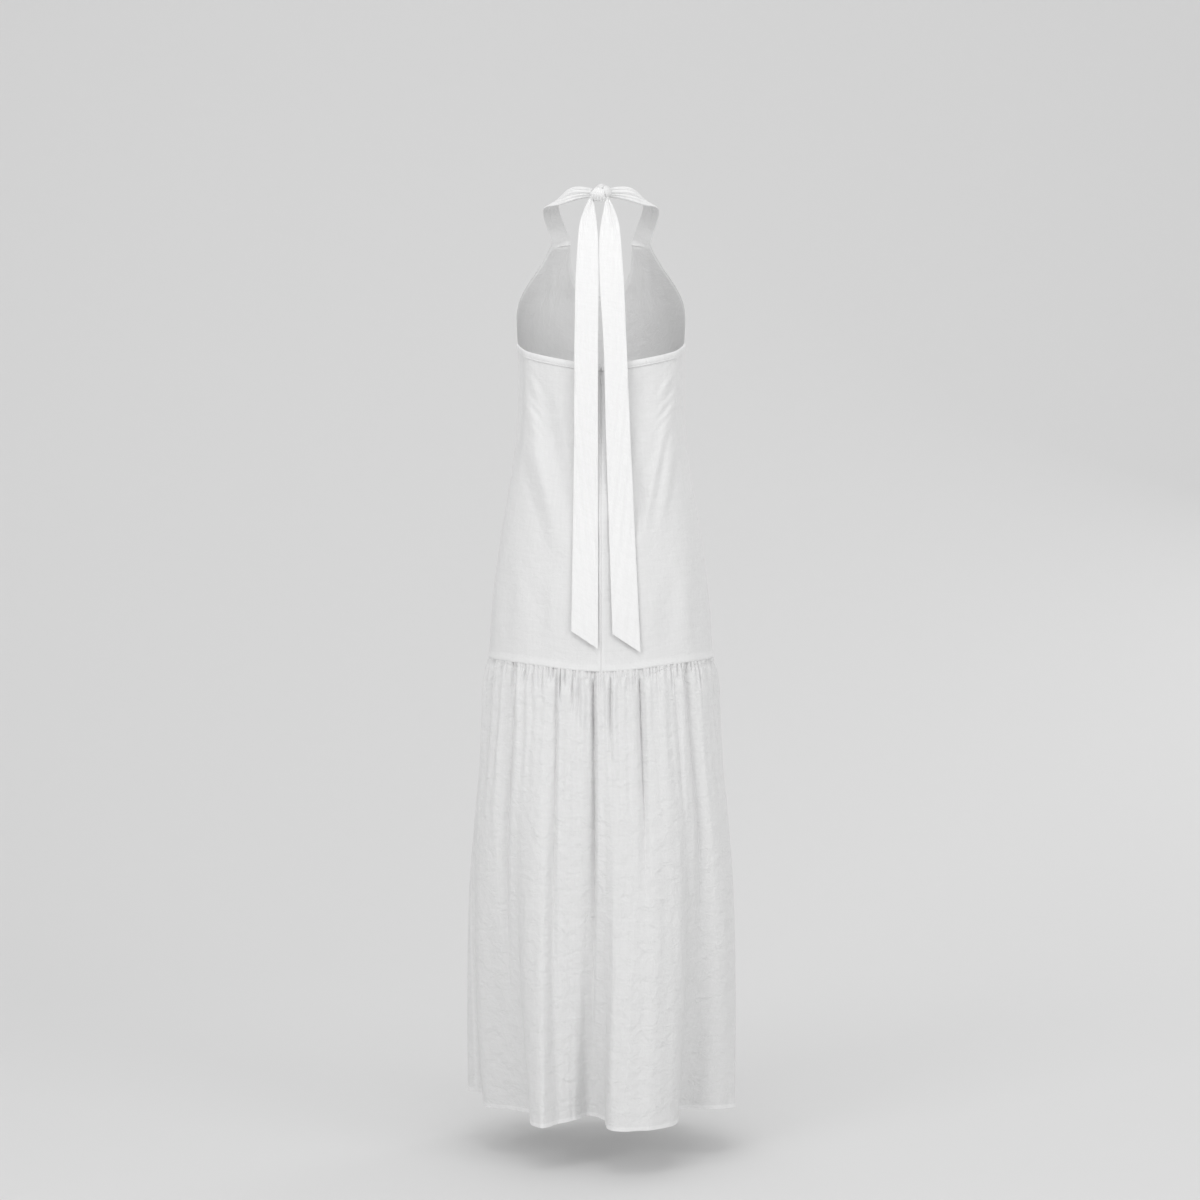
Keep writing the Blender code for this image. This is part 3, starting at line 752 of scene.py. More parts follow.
def form(angle, height):
    """The plain form's x and y at an angle in degrees."""
    half_width, back, front = smooth(SECTIONS, height)
    turn = np.radians(angle)
    depth = np.where(np.cos(turn) > 0, back, front)
    across = np.abs(np.sin(turn) / half_width) ** ROUNDNESS
    along = np.abs(np.cos(turn) / depth) ** ROUNDNESS
    radius = (across + along) ** (-1 / ROUNDNESS)
    return radius * np.sin(turn), radius * np.cos(turn)


def form_normal(angle, height):
    """The level direction out of the plain form."""
    step = 0.1
    x0, y0 = form(angle - step, height)
    x1, y1 = form(angle + step, height)
    length = np.hypot(x1 - x0, y1 - y0)
    return (y0 - y1) / length, (x1 - x0) / length


def seam_height(angle):
    """The drop-waist seam, highest at the sides."""
    turn = np.radians(angle)
    drop = np.where(np.cos(turn) > 0, SEAM_BACK_DROP, SEAM_FRONT_DROP)
    return SEAM_SIDE - drop * np.cos(turn) ** 2


def back_top(angle):
    """The back's top edge, which rises to the side corners."""
    share = np.clip(np.abs(angle) / 90, 0, 1)
    return BACK_TOP + (SIDE_CORNER - BACK_TOP) * share**BACK_TOP_CURVE


def fold_relief(folds, across, height):
    """How far soft folds stand out, at an x and a height."""
    relief = np.zeros_like(height)
    for fold in folds:
        dx, dz = fold.x_low - fold.x_top, fold.z_low - fold.z_top
        length = math.hypot(dx, dz)
        along = ((across - fold.x_top) * dx + (height - fold.z_top) * dz) / length**2
        aside = ((across - fold.x_top) * dz - (height - fold.z_top) * dx) / length
        fade = rise(along / 0.4) * rise((1 - along) / 0.6)
        relief += fold.relief * bell(aside / (2 * fold.width)) * fade
    return relief


def drag_lines():
    """Fine drag lines below the back's two top corners."""
    random = np.random.default_rng(5)
    lines = []
    for side in (LEFT, RIGHT):
        for i in range(DRAG_LINES):
            x = DRAG_START.x - 0.0014 * i * random.uniform(0.6, 1.4)
            z = DRAG_START.y - DRAG_STEP * i - random.uniform(0, 0.006)
            run = DRAG_RUN * random.uniform(0.7, 1.25)
            relief = DRAG_RELIEF * random.uniform(0.6, 1.2)
            lines.append(Fold(side * x, z, side * (x - run.x), z - run.y, DRAG_WIDTH, relief))
    return tuple(lines)


BACK_RELIEF = BACK_FOLDS + drag_lines()


def back_relief(x, height):
    """How far the back's folds stand out."""
    faint = ripples(3, 7, x / 0.36, height * 2, (4, 15)) * rise((-0.42 - height) / 0.2)
    return fold_relief(BACK_RELIEF, x, height) + 0.00030 * faint


def side_hollow(angle, height):
    """The hollow under the arm."""
    place = bell((np.abs(angle) - HOLLOW_ANGLE) / HOLLOW_SPREAD)
    return -HOLLOW_DEPTH * place * rise((-0.215 - height) / 0.05) * rise((height + 0.52) / 0.20)


def back_depth(x, height):
    """The y of the back's face at an x."""
    half_width, back, _ = smooth(SECTIONS, height)
    level = back * (1 - np.abs(x / half_width) ** ROUNDNESS) ** (1 / ROUNDNESS)
    return level + back_relief(x, height)


def flute_offset(angle):
    """How far the hem stands from the plain form at a seam angle: x and y."""
    rows = []
    for flute in FLUTES:
        x, y = form(flute.seam_angle, HEM)
        rows.append((flute.seam_angle, flute.hem_x - float(x), flute.hem_y - float(y)))
    return round_once(rows, angle)


def tier_form(angle, share):
    """The tier with its great flutes: x, y and z at a seam angle and a share of the way to the hem."""
    seam = seam_height(angle)
    (lift,) = round_once(HEM_LIFTS, angle)
    height = seam + (HEM + lift - seam) * share
    x, y = form(angle, height)
    offset_x, offset_y = flute_offset(angle)
    across, along = form_normal(angle, height)
    share = np.clip(share, 0, 1)
    out = (offset_x * across + offset_y * along) * share**FLUTE_GROWTH_OUT
    aside = (offset_x * along - offset_y * across) * share**FLUTE_GROWTH_ASIDE
    return x + out * across + aside * along, y + out * along - aside * across, height


def tier_normal(angle, share):
    """The level direction out of the fluted tier, and how many metres a degree spans there."""
    step = 0.15
    x0, y0, _ = tier_form(angle - step, share)
    x1, y1, _ = tier_form(angle + step, share)
    length = np.hypot(x1 - x0, y1 - y0)
    return (y0 - y1) / length, (x1 - x0) / length, length / (2 * step)


def small_gathers(settings):
    """Short creases at uneven distances all round the seam."""
    random = np.random.default_rng(settings.seed)
    placed = np.array([crease.angle for crease in BACK_CREASES + FRONT_CREASES])
    gathers = []
    angle = -180.0
    while angle < 180:
        angle += random.uniform(1.3, 3.2)
        away = np.abs((placed - angle + 180) % 360 - 180).min()
        length = 0.018 + (settings.gather_length - 0.018) * random.uniform(0, 1) ** 2
        depth = settings.gather_depth * random.uniform(0.4, 1)
        width = random.uniform(0.0022, 0.0036)
        lean = random.uniform(0.7, 1.3)
        if away > 1.0:
            gathers.append(Crease(angle, length, depth, width * lean, width * (2 - lean), 1.7, 0))
    return tuple(gathers)


def crease_relief(creases, angle, down, metres_per_degree):
    """The depth that creases cut into the tier, down metres below the seam."""
    relief = np.zeros_like(down)
    for crease in creases:
        share = np.clip(down / crease.length, 0, 1)
        wider = 1 + (crease.widening - 1) * share
        aside = ((angle - crease.angle + 180) % 360 - 180) * metres_per_degree
        aside -= crease.drift * np.sin(math.pi * share)
        flank = np.where(aside > 0, crease.left, crease.right) * wider
        ramp = 0.003 + 1.5 * crease.depth
        top = min(0.7 * crease.depth, 0.0034)
        depth = (top + (crease.depth - top) * rise(down / ramp)) * rise((1 - share) / 0.75)
        relief -= depth * valley(aside / flank)
    return relief


# ---- Meshes ----


def grid_mesh(name, columns, rows, place, layers):
    """An open sheet: a grid of columns and rows, placed by place(u, v), facing away from the middle of
    the dress. Its "cloth" attribute holds the flat cloth's two coordinates and how doubled it is, which
    is layers: a number, or a function of u and v."""
    sheet = bmesh.new()
    bmesh.ops.create_grid(sheet, x_segments=len(columns) - 1, y_segments=len(rows) - 1, size=1)
    mesh = bpy.data.meshes.new(name)
    sheet.to_mesh(mesh)
    sheet.free()
    flat = np.empty(len(mesh.vertices) * 3, np.float32)
    mesh.vertices.foreach_get("co", flat)
    flat = flat.reshape(-1, 3)
    column = np.rint((flat[:, 0] + 1) / 2 * (len(columns) - 1)).astype(int)
    row = np.rint((flat[:, 1] + 1) / 2 * (len(rows) - 1)).astype(int)
    u, v = np.meshgrid(columns, rows)
    points = np.stack(place(u, v), axis=-1)
    mesh.vertices.foreach_set("co", points[row, column].ravel().astype(np.float32))
    steps_across = np.linalg.norm(np.diff(points, axis=1), axis=2)
    steps_along = np.linalg.norm(np.diff(points, axis=0), axis=2).mean(axis=1)
    cloth = np.zeros_like(points)
    cloth[:, 1:, 0] = np.cumsum(steps_across, axis=1)
    cloth[:, :, 0] -= cloth[:, -1:, 0] / 2
    cloth[1:, :, 1] = np.cumsum(steps_along)[:, None]
    cloth[:, :, 2] = layers(u, v) if callable(layers) else layers
    attribute = mesh.attributes.new("cloth", "FLOAT_VECTOR", "POINT")
    attribute.data.foreach_set("vector", cloth[row, column].ravel().astype(np.float32))
    facing = np.cross(np.gradient(points, axis=1), np.gradient(points, axis=0))
    if (facing[..., :2] * points[..., :2]).sum() < 0:
        mesh.flip_normals()
    mesh.shade_smooth()
    return mesh


def show(name, mesh, material):
    """The mesh as an object in the scene."""
    obj = bpy.data.objects.new(name, mesh)
    bpy.context.scene.collection.objects.link(obj)
    mesh.materials.append(material)
    return obj


def wall_of(obj, thickness, edge=0.0002):
    """Gives a sheet its thickness, inwards, and softens its edges."""
    solidify = obj.modifiers.new("Thickness", "SOLIDIFY")
    solidify.thickness = thickness
    solidify.offset = -1
    bevel = obj.modifiers.new("Soft edge", "BEVEL")
    bevel.width = edge
    bevel.segments = 2
    bevel.limit_method = "ANGLE"
    bevel.angle_limit = math.radians(70)
    bevel.harden_normals = True
    return obj


def tube_mesh(name, columns, rows, place):
    """A closed shell: a grid rolled up along its columns, with its two ends filled."""
    mesh = grid_mesh(name, columns, rows, place, 1)
    shell = bmesh.new()
    shell.from_mesh(mesh)
    bmesh.ops.remove_doubles(shell, verts=shell.verts[:], dist=0.00002)
    rims = [edge for edge in shell.edges if edge.is_boundary]
    bmesh.ops.holes_fill(shell, edges=rims, sides=0)
    bmesh.ops.recalc_face_normals(shell, faces=shell.faces[:])
    shell.to_mesh(mesh)
    shell.free()
    mesh.shade_smooth()
    return mesh


def mesh_from(name, shell):
    """The mesh of a finished bmesh, which is freed."""
    mesh = bpy.data.meshes.new(name)
    shell.to_mesh(mesh)
    shell.free()
    mesh.shade_smooth()
    return mesh


def keep(obj, slot, *nodes):
    """The piece moves with the garment and stands for its CAD nodes."""
    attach(obj, BODY)
    if nodes:
        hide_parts(*nodes)
    return obj


# ---- Materials ----


def add(tree, kind, inputs=None, **settings):
    """A shader node with its settings, and its inputs set or linked."""
    made = tree.nodes.new(kind)
    for setting, value in settings.items():
        setattr(made, setting, value)
    for key, value in (inputs or {}).items():
        if isinstance(value, bpy.types.NodeSocket):
            tree.links.new(value, made.inputs[key])
        else:
            made.inputs[key].default_value = value
    return made


def maths(tree, operation, first, second=0.0, clamp=False):
    """The output of a Math node."""
    inputs = {0: first, 1: second}
    return add(tree, "ShaderNodeMath", inputs, operation=operation, use_clamp=clamp).outputs[0]


def new_group(name, inputs, outputs):
    """An empty node group with its sockets, and its input and output nodes."""
    tree = bpy.data.node_groups.new(name, "ShaderNodeTree")
    for label, kind, value in inputs:
        socket = tree.interface.new_socket(label, in_out="INPUT", socket_type=kind)
        if value is not None:
            socket.default_value = value
    for label, kind in outputs:
        tree.interface.new_socket(label, in_out="OUTPUT", socket_type=kind)
    return tree, tree.nodes.new("NodeGroupInput").outputs, tree.nodes.new("NodeGroupOutput").inputs


def weave_group():
    """Plain weave with slubs: a tone that varies about 0, and a height."""
    found = bpy.data.node_groups.get("Plain weave")
    if found:
        return found
    tree, given, out = new_group(
        "Plain weave",
        (
            ("Flat", "NodeSocketVector", None),
            ("Pitch", "NodeSocketFloat", 0.00045),
            ("Slub", "NodeSocketFloat", 0.5),
        ),
        (("Tone", "NodeSocketFloat"), ("Height", "NodeSocketFloat")),
    )
    split = add(tree, "ShaderNodeSeparateXYZ", {0: given["Flat"]}).outputs
    waves = []
    for axis in (0, 1):
        turns = maths(tree, "DIVIDE", split[axis], given["Pitch"])
        waves.append(maths(tree, "SINE", maths(tree, "MULTIPLY", turns, 2 * math.pi)))
    threads = maths(tree, "MULTIPLY", waves[0], waves[1])
    slubs = []
    streaks = []
    for narrow, long in ((0, 1), (1, 0)):
        for scale, length, kept in ((900, 60, slubs), (260, 16, streaks)):
            parts = {narrow: maths(tree, "MULTIPLY", split[narrow], scale)}
            parts[long] = maths(tree, "MULTIPLY", split[long], length)
            parts[2] = 7.0 * narrow
            place = add(tree, "ShaderNodeCombineXYZ", parts).outputs[0]
            noise = add(tree, "ShaderNodeTexNoise", {"Vector": place, "Scale": 1.0, "Detail": 1.0})
            kept.append(noise.outputs["Fac"])
    thick = []
    for noise in slubs:
        ranged = {0: noise, 1: 0.60, 2: 0.78, 3: 0.0, 4: 1.0}
        thick.append(add(tree, "ShaderNodeMapRange", ranged, clamp=True).outputs[0])
    slub = maths(tree, "MULTIPLY", maths(tree, "ADD", thick[0], thick[1]), given["Slub"])
    streak = maths(tree, "SUBTRACT", maths(tree, "ADD", streaks[0], streaks[1]), 1.0)
    streak = maths(tree, "MULTIPLY", streak, given["Slub"])
    tone = maths(tree, "ADD", maths(tree, "MULTIPLY", slub, 0.034), maths(tree, "MULTIPLY", streak, 0.05))
    tone = maths(tree, "ADD", tone, maths(tree, "MULTIPLY", threads, 0.02))
    height = maths(tree, "ADD", maths(tree, "MULTIPLY", threads, 0.25), slub)
    tree.links.new(tone, out["Tone"])
    tree.links.new(height, out["Height"])
    return tree


def crumple_group():
    """Soft creasing of cotton that has been worn and hung: a height."""
    found = bpy.data.node_groups.get("Crumple")
    if found:
        return found
    tree, given, out = new_group(
        "Crumple",
        (("Flat", "NodeSocketVector", None), ("Scale", "NodeSocketFloat", 48.0)),
        (("Height", "NodeSocketFloat"),),
    )
    level = {0: given["Flat"], 1: (1.0, 1.0, 0.0)}
    flat = add(tree, "ShaderNodeVectorMath", level, operation="MULTIPLY").outputs[0]
    fine = {"Vector": flat, "Scale": given["Scale"], "Detail": 4.0, "Roughness": 0.62, "Distortion": 0.5}
    noise = add(tree, "ShaderNodeTexNoise", fine).outputs["Fac"]
    tree.links.new(noise, out["Height"])
    return tree


def cotton(name, bump, crumpled):
    """White plain-weave cotton. Doubled cloth is whiter, because less shows through it."""
    found = bpy.data.materials.get(name)
    if found:
        return found
    settings = bpy.context.scene.dress_cloth
    material = bpy.data.materials.new(name)
    material.use_nodes = True
    tree = material.node_tree
    shader = tree.nodes["Principled BSDF"]
    shader.inputs["Sheen Weight"].default_value = 0.10
    shader.inputs["Sheen Roughness"].default_value = 0.6
    shader.inputs["Specular IOR Level"].default_value = 0.25
    cloth = add(tree, "ShaderNodeAttribute", attribute_name="cloth").outputs["Vector"]
    weave = add(tree, "ShaderNodeGroup", node_tree=weave_group())
    tree.links.new(cloth, weave.inputs["Flat"])
    weave.inputs["Pitch"].default_value = settings.pitch
    weave.inputs["Slub"].default_value = settings.slub
    layers = add(tree, "ShaderNodeSeparateXYZ", {0: cloth}).outputs[2]
    colours = {0: layers, 6: (*settings.single, 1), 7: (*settings.double, 1)}
    mixed = add(tree, "ShaderNodeMix", colours, data_type="RGBA").outputs[2]
    toning = {0: mixed, 1: maths(tree, "ADD", weave.outputs["Tone"], 1.0)}
    toned = add(tree, "ShaderNodeVectorMath", toning, operation="MULTIPLY").outputs[0]
    tree.links.new(toned, shader.inputs["Base Color"])
    rough = maths(tree, "MULTIPLY", weave.outputs["Height"], 0.06)
    rough = maths(tree, "ADD", rough, settings.roughness)
    tree.links.new(rough, shader.inputs["Roughness"])
    crumple = add(tree, "ShaderNodeGroup", node_tree=crumple_group())
    tree.links.new(cloth, crumple.inputs["Flat"])
    creased = {"Strength": crumpled, "Distance": 0.0050, "Height": crumple.outputs["Height"]}
    soft = add(tree, "ShaderNodeBump", creased).outputs[0]
    woven = {"Strength": bump, "Distance": 0.00012, "Height": weave.outputs["Height"], "Normal": soft}
    tree.links.new(add(tree, "ShaderNodeBump", woven).outputs[0], shader.inputs["Normal"])
    return material


def bodice_cotton():
    return cotton("Smooth cotton voile", 0.5, 0.36)


def tier_cotton():
    return cotton("Crumpled cotton voile", 0.5, 0.72)


def doubled_cotton():
    return cotton("Doubled cotton", 0.45, 0.30)


def tape_cotton():
    return cotton("Zip tape", 0.8, 0.1)


def grain_group():
    """Fine irregular grain of a moulded or painted surface: a mask from 0 to 1."""
    found = bpy.data.node_groups.get("Fine grain")
    if found:
        return found
    tree, given, out = new_group(
        "Fine grain",
        (("Scale", "NodeSocketFloat", 900.0), ("Contrast", "NodeSocketFloat", 1.0)),
        (("Mask", "NodeSocketFloat"),),
    )
    place = add(tree, "ShaderNodeTexCoord").outputs["Object"]
    noise = add(tree, "ShaderNodeTexNoise", {"Vector": place, "Scale": given["Scale"], "Detail": 3.0})
    centred = maths(tree, "SUBTRACT", noise.outputs["Fac"], 0.5)
    mask = maths(tree, "ADD", maths(tree, "MULTIPLY", centred, given["Contrast"]), 0.5, clamp=True)
    tree.links.new(mask, out["Mask"])
    return tree


def grained(name, dark, light, rough, metallic, scale, bump):
    """A material whose colour, roughness and relief follow a fine grain."""
    found = bpy.data.materials.get(name)
    if found:
        return found
    material = bpy.data.materials.new(name)
    material.use_nodes = True
    tree = material.node_tree
    shader = tree.nodes["Principled BSDF"]
    shader.inputs["Metallic"].default_value = metallic
    grain = add(tree, "ShaderNodeGroup", node_tree=grain_group())
    grain.inputs["Scale"].default_value = scale
    mask = grain.outputs["Mask"]
    colours = {0: mask, 6: (*dark, 1), 7: (*light, 1)}
    mixed = add(tree, "ShaderNodeMix", colours, data_type="RGBA").outputs[2]
    tree.links.new(mixed, shader.inputs["Base Color"])
    ranged = {0: mask, 1: 0.0, 2: 1.0, 3: rough[0], 4: rough[1]}
    tree.links.new(add(tree, "ShaderNodeMapRange", ranged).outputs[0], shader.inputs["Roughness"])
    relief = add(tree, "ShaderNodeBump", {"Strength": bump, "Distance": 0.0002, "Height": mask})
    tree.links.new(relief.outputs[0], shader.inputs["Normal"])
    return material


def thread_material():
    colour = bpy.context.scene.dress_stitch.colour
    dark = tuple(0.93 * part for part in colour)
    return grained("Sewing thread", dark, tuple(colour), (0.5, 0.65), 0.0, 2600.0, 0.3)


def zip_metal():
    return grained("Painted zip metal", (0.76,) * 3, (0.84,) * 3, (0.26, 0.40), 0.1, 1500.0, 0.15)


def zip_nylon():
    return grained("Zip coil", (0.80,) * 3, (0.87,) * 3, (0.35, 0.5), 0.0, 1800.0, 0.1)


# ---- Pieces ----


def zip_half_gap(below_top):
    """Half the opening between the back panels: a notch at the top, then a slit for the slider."""
    notch = SLIT_HALF + (NOTCH_HALF - SLIT_HALF) * np.clip(1 - below_top / NOTCH_DEPTH, 0, 1)
    return notch * rise((SLIT_LENGTH + 0.0015 - below_top) / 0.0015)


def back_point(side, u, v, out=0.0):
    """A point of a back panel: u runs from the zip to the side seam, v from the seam to the top edge."""
    top, bottom = back_top(90 * u), seam_height(90 * u)
    height = bottom + (top - bottom) * v
    half_width, back, _ = smooth(SECTIONS, height)
    near = np.degrees(zip_half_gap(top - height) / back)
    angle = near + (90 - near) * u
    x, y = form(angle, height)
    across, along = form_normal(angle, height)
    from_side = np.radians(90 - angle) * half_width
    from_seam = height - bottom
    out = out + groove(x, 0.0011, 0.0012) * rise((top - height - SLIT_LENGTH) / 0.004)
    out += ALLOWANCE_OUT * bell((x - 0.0085) / 0.0075) * rise((top - height) / 0.05)
    out += groove(from_side, 0.0009, 0.0014) + ALLOWANCE_OUT * bell((from_side - 0.0085) / 0.0075)
    out += LIP_OUT * bell((from_seam - 0.004) / LIP_WIDTH) + groove(from_seam, 0.0007, 0.0010)
    out += side_hollow(angle, height)
    y = y + back_relief(side * x, height)
    return side * (x + across * out), y + along * out, height


def back_layers(u, v):
    """Where the back panel is doubled: over its seam allowances."""
    from_side = np.minimum(u, 1 - u) * BACK_SPREAD
    from_seam = v * BACK_LENGTH
    return np.maximum(0.30 * bell(from_side / SEAM_ALLOWANCE), 0.34 * bell((from_seam - 0.005) / 0.010))


def make_backs():
    for word, side in (("left", LEFT), ("right", RIGHT)):
        name = "back_" + word + "_panel"
        columns, rows = crowded(118, 0.55), crowded(170, 0.60)
        mesh = grid_mesh(name, columns, rows, partial(back_point, side), back_layers)
        panel = wall_of(show(name, mesh, bodice_cotton()), bpy.context.scene.dress_cloth.thickness)
        keep(panel, COTTON_SLOT, "back_" + word)


BandRow = namedtuple("BandRow", "step down out")
BAND_SECTION = (
    BandRow(0, 0.0104, 0.0002),
    BandRow(1, 0.0102, 0.0009),
    BandRow(2, 0.0092, 0.0011),
    BandRow(3, 0.0084, 0.0008),
    BandRow(4, 0.0074, 0.0013),
    BandRow(5, 0.0048, 0.0017),
    BandRow(6, 0.0018, 0.0016),
    BandRow(7, 0.0001, 0.0010),
    BandRow(8, -0.0003, 0.0000),
    BandRow(9, 0.0001, -0.0010),
    BandRow(10, 0.0020, -0.0014),
    BandRow(11, 0.0098, -0.0013),
)
BAND_STITCH_DOWN = 0.0084


def band_point(side, u, down, out):
    """A point of the band along the back's top edge."""
    top = back_top(90 * u)
    height = top - down
    _, back, _ = smooth(SECTIONS, height)
    near = np.degrees(zip_half_gap(np.maximum(down, 0)) / back)
    angle = near + (90 - near) * u
    x, y = form(angle, height)
    across, along = form_normal(angle, height)
    ends = rise(np.minimum((1 - u) / 0.012, u / 0.008))
    puckers = 0.00022 * ripples(8, 5, u, down * 20, (9, 30)) * (out > 0) * ends
    out = out * (0.25 + 0.75 * ends) + puckers + side_hollow(angle, height)
    y = y + back_relief(side * x, height)
    return side * (x + across * out), y + along * out, height


def band_face(side, u, v):
    """A point of the band's section: v runs from its stitched edge over the top to its inner edge."""
    down, out = smooth(BAND_SECTION, v * (len(BAND_SECTION) - 1))
    return band_point(side, u, down, out)


def make_bands():
    for word, side in (("left", LEFT), ("right", RIGHT)):
        name = "back_band_" + word
        columns, rows = crowded(120, 0.3), np.linspace(0, 1, 34)
        mesh = grid_mesh(name + "_edge", columns, rows, partial(band_face, side), 0.4)
        band = wall_of(show(name + "_edge", mesh, doubled_cotton()), 0.0005, 0.00012)
        keep(band, COTTON_SLOT, name)


def armhole_angle(height):
    """Half the front's spread in degrees, from the middle of the front."""
    share = np.clip((height - SIDE_CORNER) / (TIP_HEIGHT - SIDE_CORNER), 0, 1)
    return TIP_ANGLE + (90 - TIP_ANGLE) * (0.5 + 0.5 * np.cos(math.pi * share**ARMHOLE_CURVE))


def neckline(u):
    """The height of the front's upper edge."""
    share = np.clip(np.abs(u) / NECKLINE_SHARE, 0, 1)
    return TIP_HEIGHT - NECKLINE_DIP * (1 - share**NECKLINE_CURVE)


def front_point(u, v, out=0.0):
    """A point of the front: u runs from the right side seam, -1, to the left, 1, and v from the
    drop-waist seam to the neckline."""
    bottom = seam_height(180 + 90 * u)
    top = neckline(u)
    height = bottom + (top - bottom) * v
    angle = 180 - u * armhole_angle(height)
    x, y = form(angle, height)
    across, along = form_normal(angle, height)
    from_edge = (1 - np.abs(u)) * FRONT_SPREAD
    from_neck = top - height
    from_seam = height - bottom
    below_corner = rise((SIDE_CORNER - height) / 0.01)
    turned = np.minimum(from_edge + below_corner, from_neck)
    out = out + 0.0005 * rise((EDGE_TURN - turned) / 0.001)
    out -= 0.0003 * bell((turned - EDGE_TURN + EDGE_STITCH) / 0.001)
    out += groove(from_edge, 0.0009, 0.0014) * below_corner
    out += LIP_OUT * bell((from_seam - 0.004) / LIP_WIDTH) + groove(from_seam, 0.0007, 0.0010)
    out += side_hollow(180 - angle, height)
    y = y - fold_relief(FRONT_FOLDS, x, height)
    return x + across * out, y + along * out, height


def front_layers(u, v):
    """Where the front is doubled: along its turned edges and over the drop-waist seam."""
    edge = np.maximum((np.abs(u) > 0.965) * 0.45, (v > 0.985) * 0.45)
    return np.maximum(edge, 0.34 * bell((v - 0.009) / 0.018))


def make_front():
    columns, rows = crowded(201, 0.45, -1, 1), crowded(170, 0.60)
    mesh = grid_mesh("front_panel", columns, rows, front_point, front_layers)
    panel = wall_of(show("front_panel", mesh, bodice_cotton()), bpy.context.scene.dress_cloth.thickness)
    keep(panel, COTTON_SLOT, "front_bodice")


def tier_point(creases, settings, angle, share):
    """A point of the tier with all its folds, creases and gathers."""
    length = np.abs(seam_height(angle) - HEM)
    down = share * length
    x, y, height = tier_form(angle, share)
    across, along, spread = tier_normal(angle, np.clip(share, 0, 1))
    below = np.maximum(down, 0)
    out = crease_relief(creases, angle, below, spread) * rise((down + 0.004) / 0.004)
    out += settings.puff * (0.25 + 0.75 * rise(down / 0.014)) * (1 - rise((down - 0.012) / 0.09))
    turn, seed = angle / 360, settings.seed
    fade = rise(down / 0.02) * (1 - rise((down - 0.05) / 0.30))
    out += settings.drape * ripples(seed + 2, 12, turn, height * 1.5, (30, 72)) * fade
    rippled = ripples(seed, 9, turn, height * 2.5, (10, 34))
    rippled += 0.15 * ripples(seed + 1, 9, turn, height * 9, (30, 90))
    out += settings.ripple * rippled * rise(down / 0.05)
    out -= (0.0014 + 0.25 * settings.puff) * rise(-down / 0.0015)
    up = length - down
    out += 0.0005 * rise((HEM_TURN - up) / 0.0015) - 0.0004 * bell((up - HEM_TURN + HEM_STITCH) / 0.0014)
    out += 0.0004 * ripples(21, 6, turn, height, (40, 90)) * rise((0.030 - up) / 0.030)
    return x + across * out, y + along * out, height


def tier_layers(u, v):
    """Where the tier is doubled: over its side seams and along the hem."""
    sides = 0.5 * bell(np.minimum(u, 1 - u) / 0.010)
    return np.maximum(sides, 0.45 * (v > 1 - HEM_TURN / TIER_LENGTH))


def tier_rows():
    """Shares of the way down: two above the seam, more of them near it, and four along the hem's turn."""
    t = np.linspace(0, 1, 80)
    down = 0.22 * t + 0.78 * t**2.2
    tucked = np.array((-TUCK, -TUCK / 2)) / TIER_LENGTH
    hem = 1 - (HEM_TURN + np.array((0.001, 0, -0.001, -0.002))) / TIER_LENGTH
    return np.unique(np.concatenate((tucked, down, hem)))


def all_creases():
    """Every crease of the tier, the small gathers with them."""
    return BACK_CREASES + FRONT_CREASES + small_gathers(bpy.context.scene.dress_tier)


def make_tier():
    settings, creases = bpy.context.scene.dress_tier, all_creases()
    for word, start in TIER_HALVES:

        def place(u, v, start=start):
            return tier_point(creases, settings, start + 180 * u, v)

        name = "tier_" + word
        mesh = grid_mesh(name + "_cloth", np.linspace(0, 1, TIER_COLUMNS), tier_rows(), place, tier_layers)
        half = wall_of(show(name + "_cloth", mesh, tier_cotton()), bpy.context.scene.dress_cloth.thickness)
        keep(half, COTTON_SLOT, name)


def strap_point(side, u, v):
    """A point of a halter strap: u runs round it, v from the front to the knot."""
    first, last = STRAP[0].step, STRAP[-1].step
    at = first + (last - first) * v
    x, y, z, width, thickness, *face = smooth(STRAP, at)
    ahead = smooth(STRAP, at + 0.06)[:3]
    behind = smooth(STRAP, at - 0.06)[:3]
    run = np.stack([a - b for a, b in zip(ahead, behind)], axis=-1)
    run /= np.linalg.norm(run, axis=-1, keepdims=True)
    face = np.stack(face, axis=-1)
    face = face - run * (face * run).sum(axis=-1, keepdims=True)
    face /= np.linalg.norm(face, axis=-1, keepdims=True)
    across = np.cross(run, face)
    turn = 2 * math.pi * u
    c, s = np.cos(turn), np.sin(turn)
    wide = np.sign(c) * np.abs(c) ** 0.95
    thick = np.sign(s) * np.abs(s) ** 0.8
    dip = np.zeros_like(u)
    for crease in STRAP_CREASES:
        sway = 0.10 * np.sin(7 * v + 4 * crease.front)
        middle = crease.front + (crease.knot - crease.front) * v + sway
        dip += crease.depth * valley((wide - middle) / crease.width)
    dip = np.minimum(dip, 0.92) * rise((v - 0.10) / 0.32) * rise((1 - np.abs(wide)) / 0.2)
    thick = thick * (1 - dip)
    aside = (wide * width / 2)[..., None] * across + (thick * thickness / 2)[..., None] * face
    late = np.clip(v - STRAP_SHIFT_FROM, 0, 1) / (1 - STRAP_SHIFT_FROM)
    if side == RIGHT:
        x = x - STRAP_RIGHT_SHIFT * late
    x = x + aside[..., 0]
    return side * x, y + aside[..., 1], z + aside[..., 2]


def make_straps():
    for word, side in (("left", LEFT), ("right", RIGHT)):
        name = "strap_" + word
        columns, rows = np.linspace(0, 1, 129), np.linspace(0, 1, 90)
        mesh = tube_mesh(name + "_roll", columns, rows, partial(strap_point, side))
        strap = keep(show(name + "_roll", mesh, doubled_cotton()), COTTON_SLOT, name)


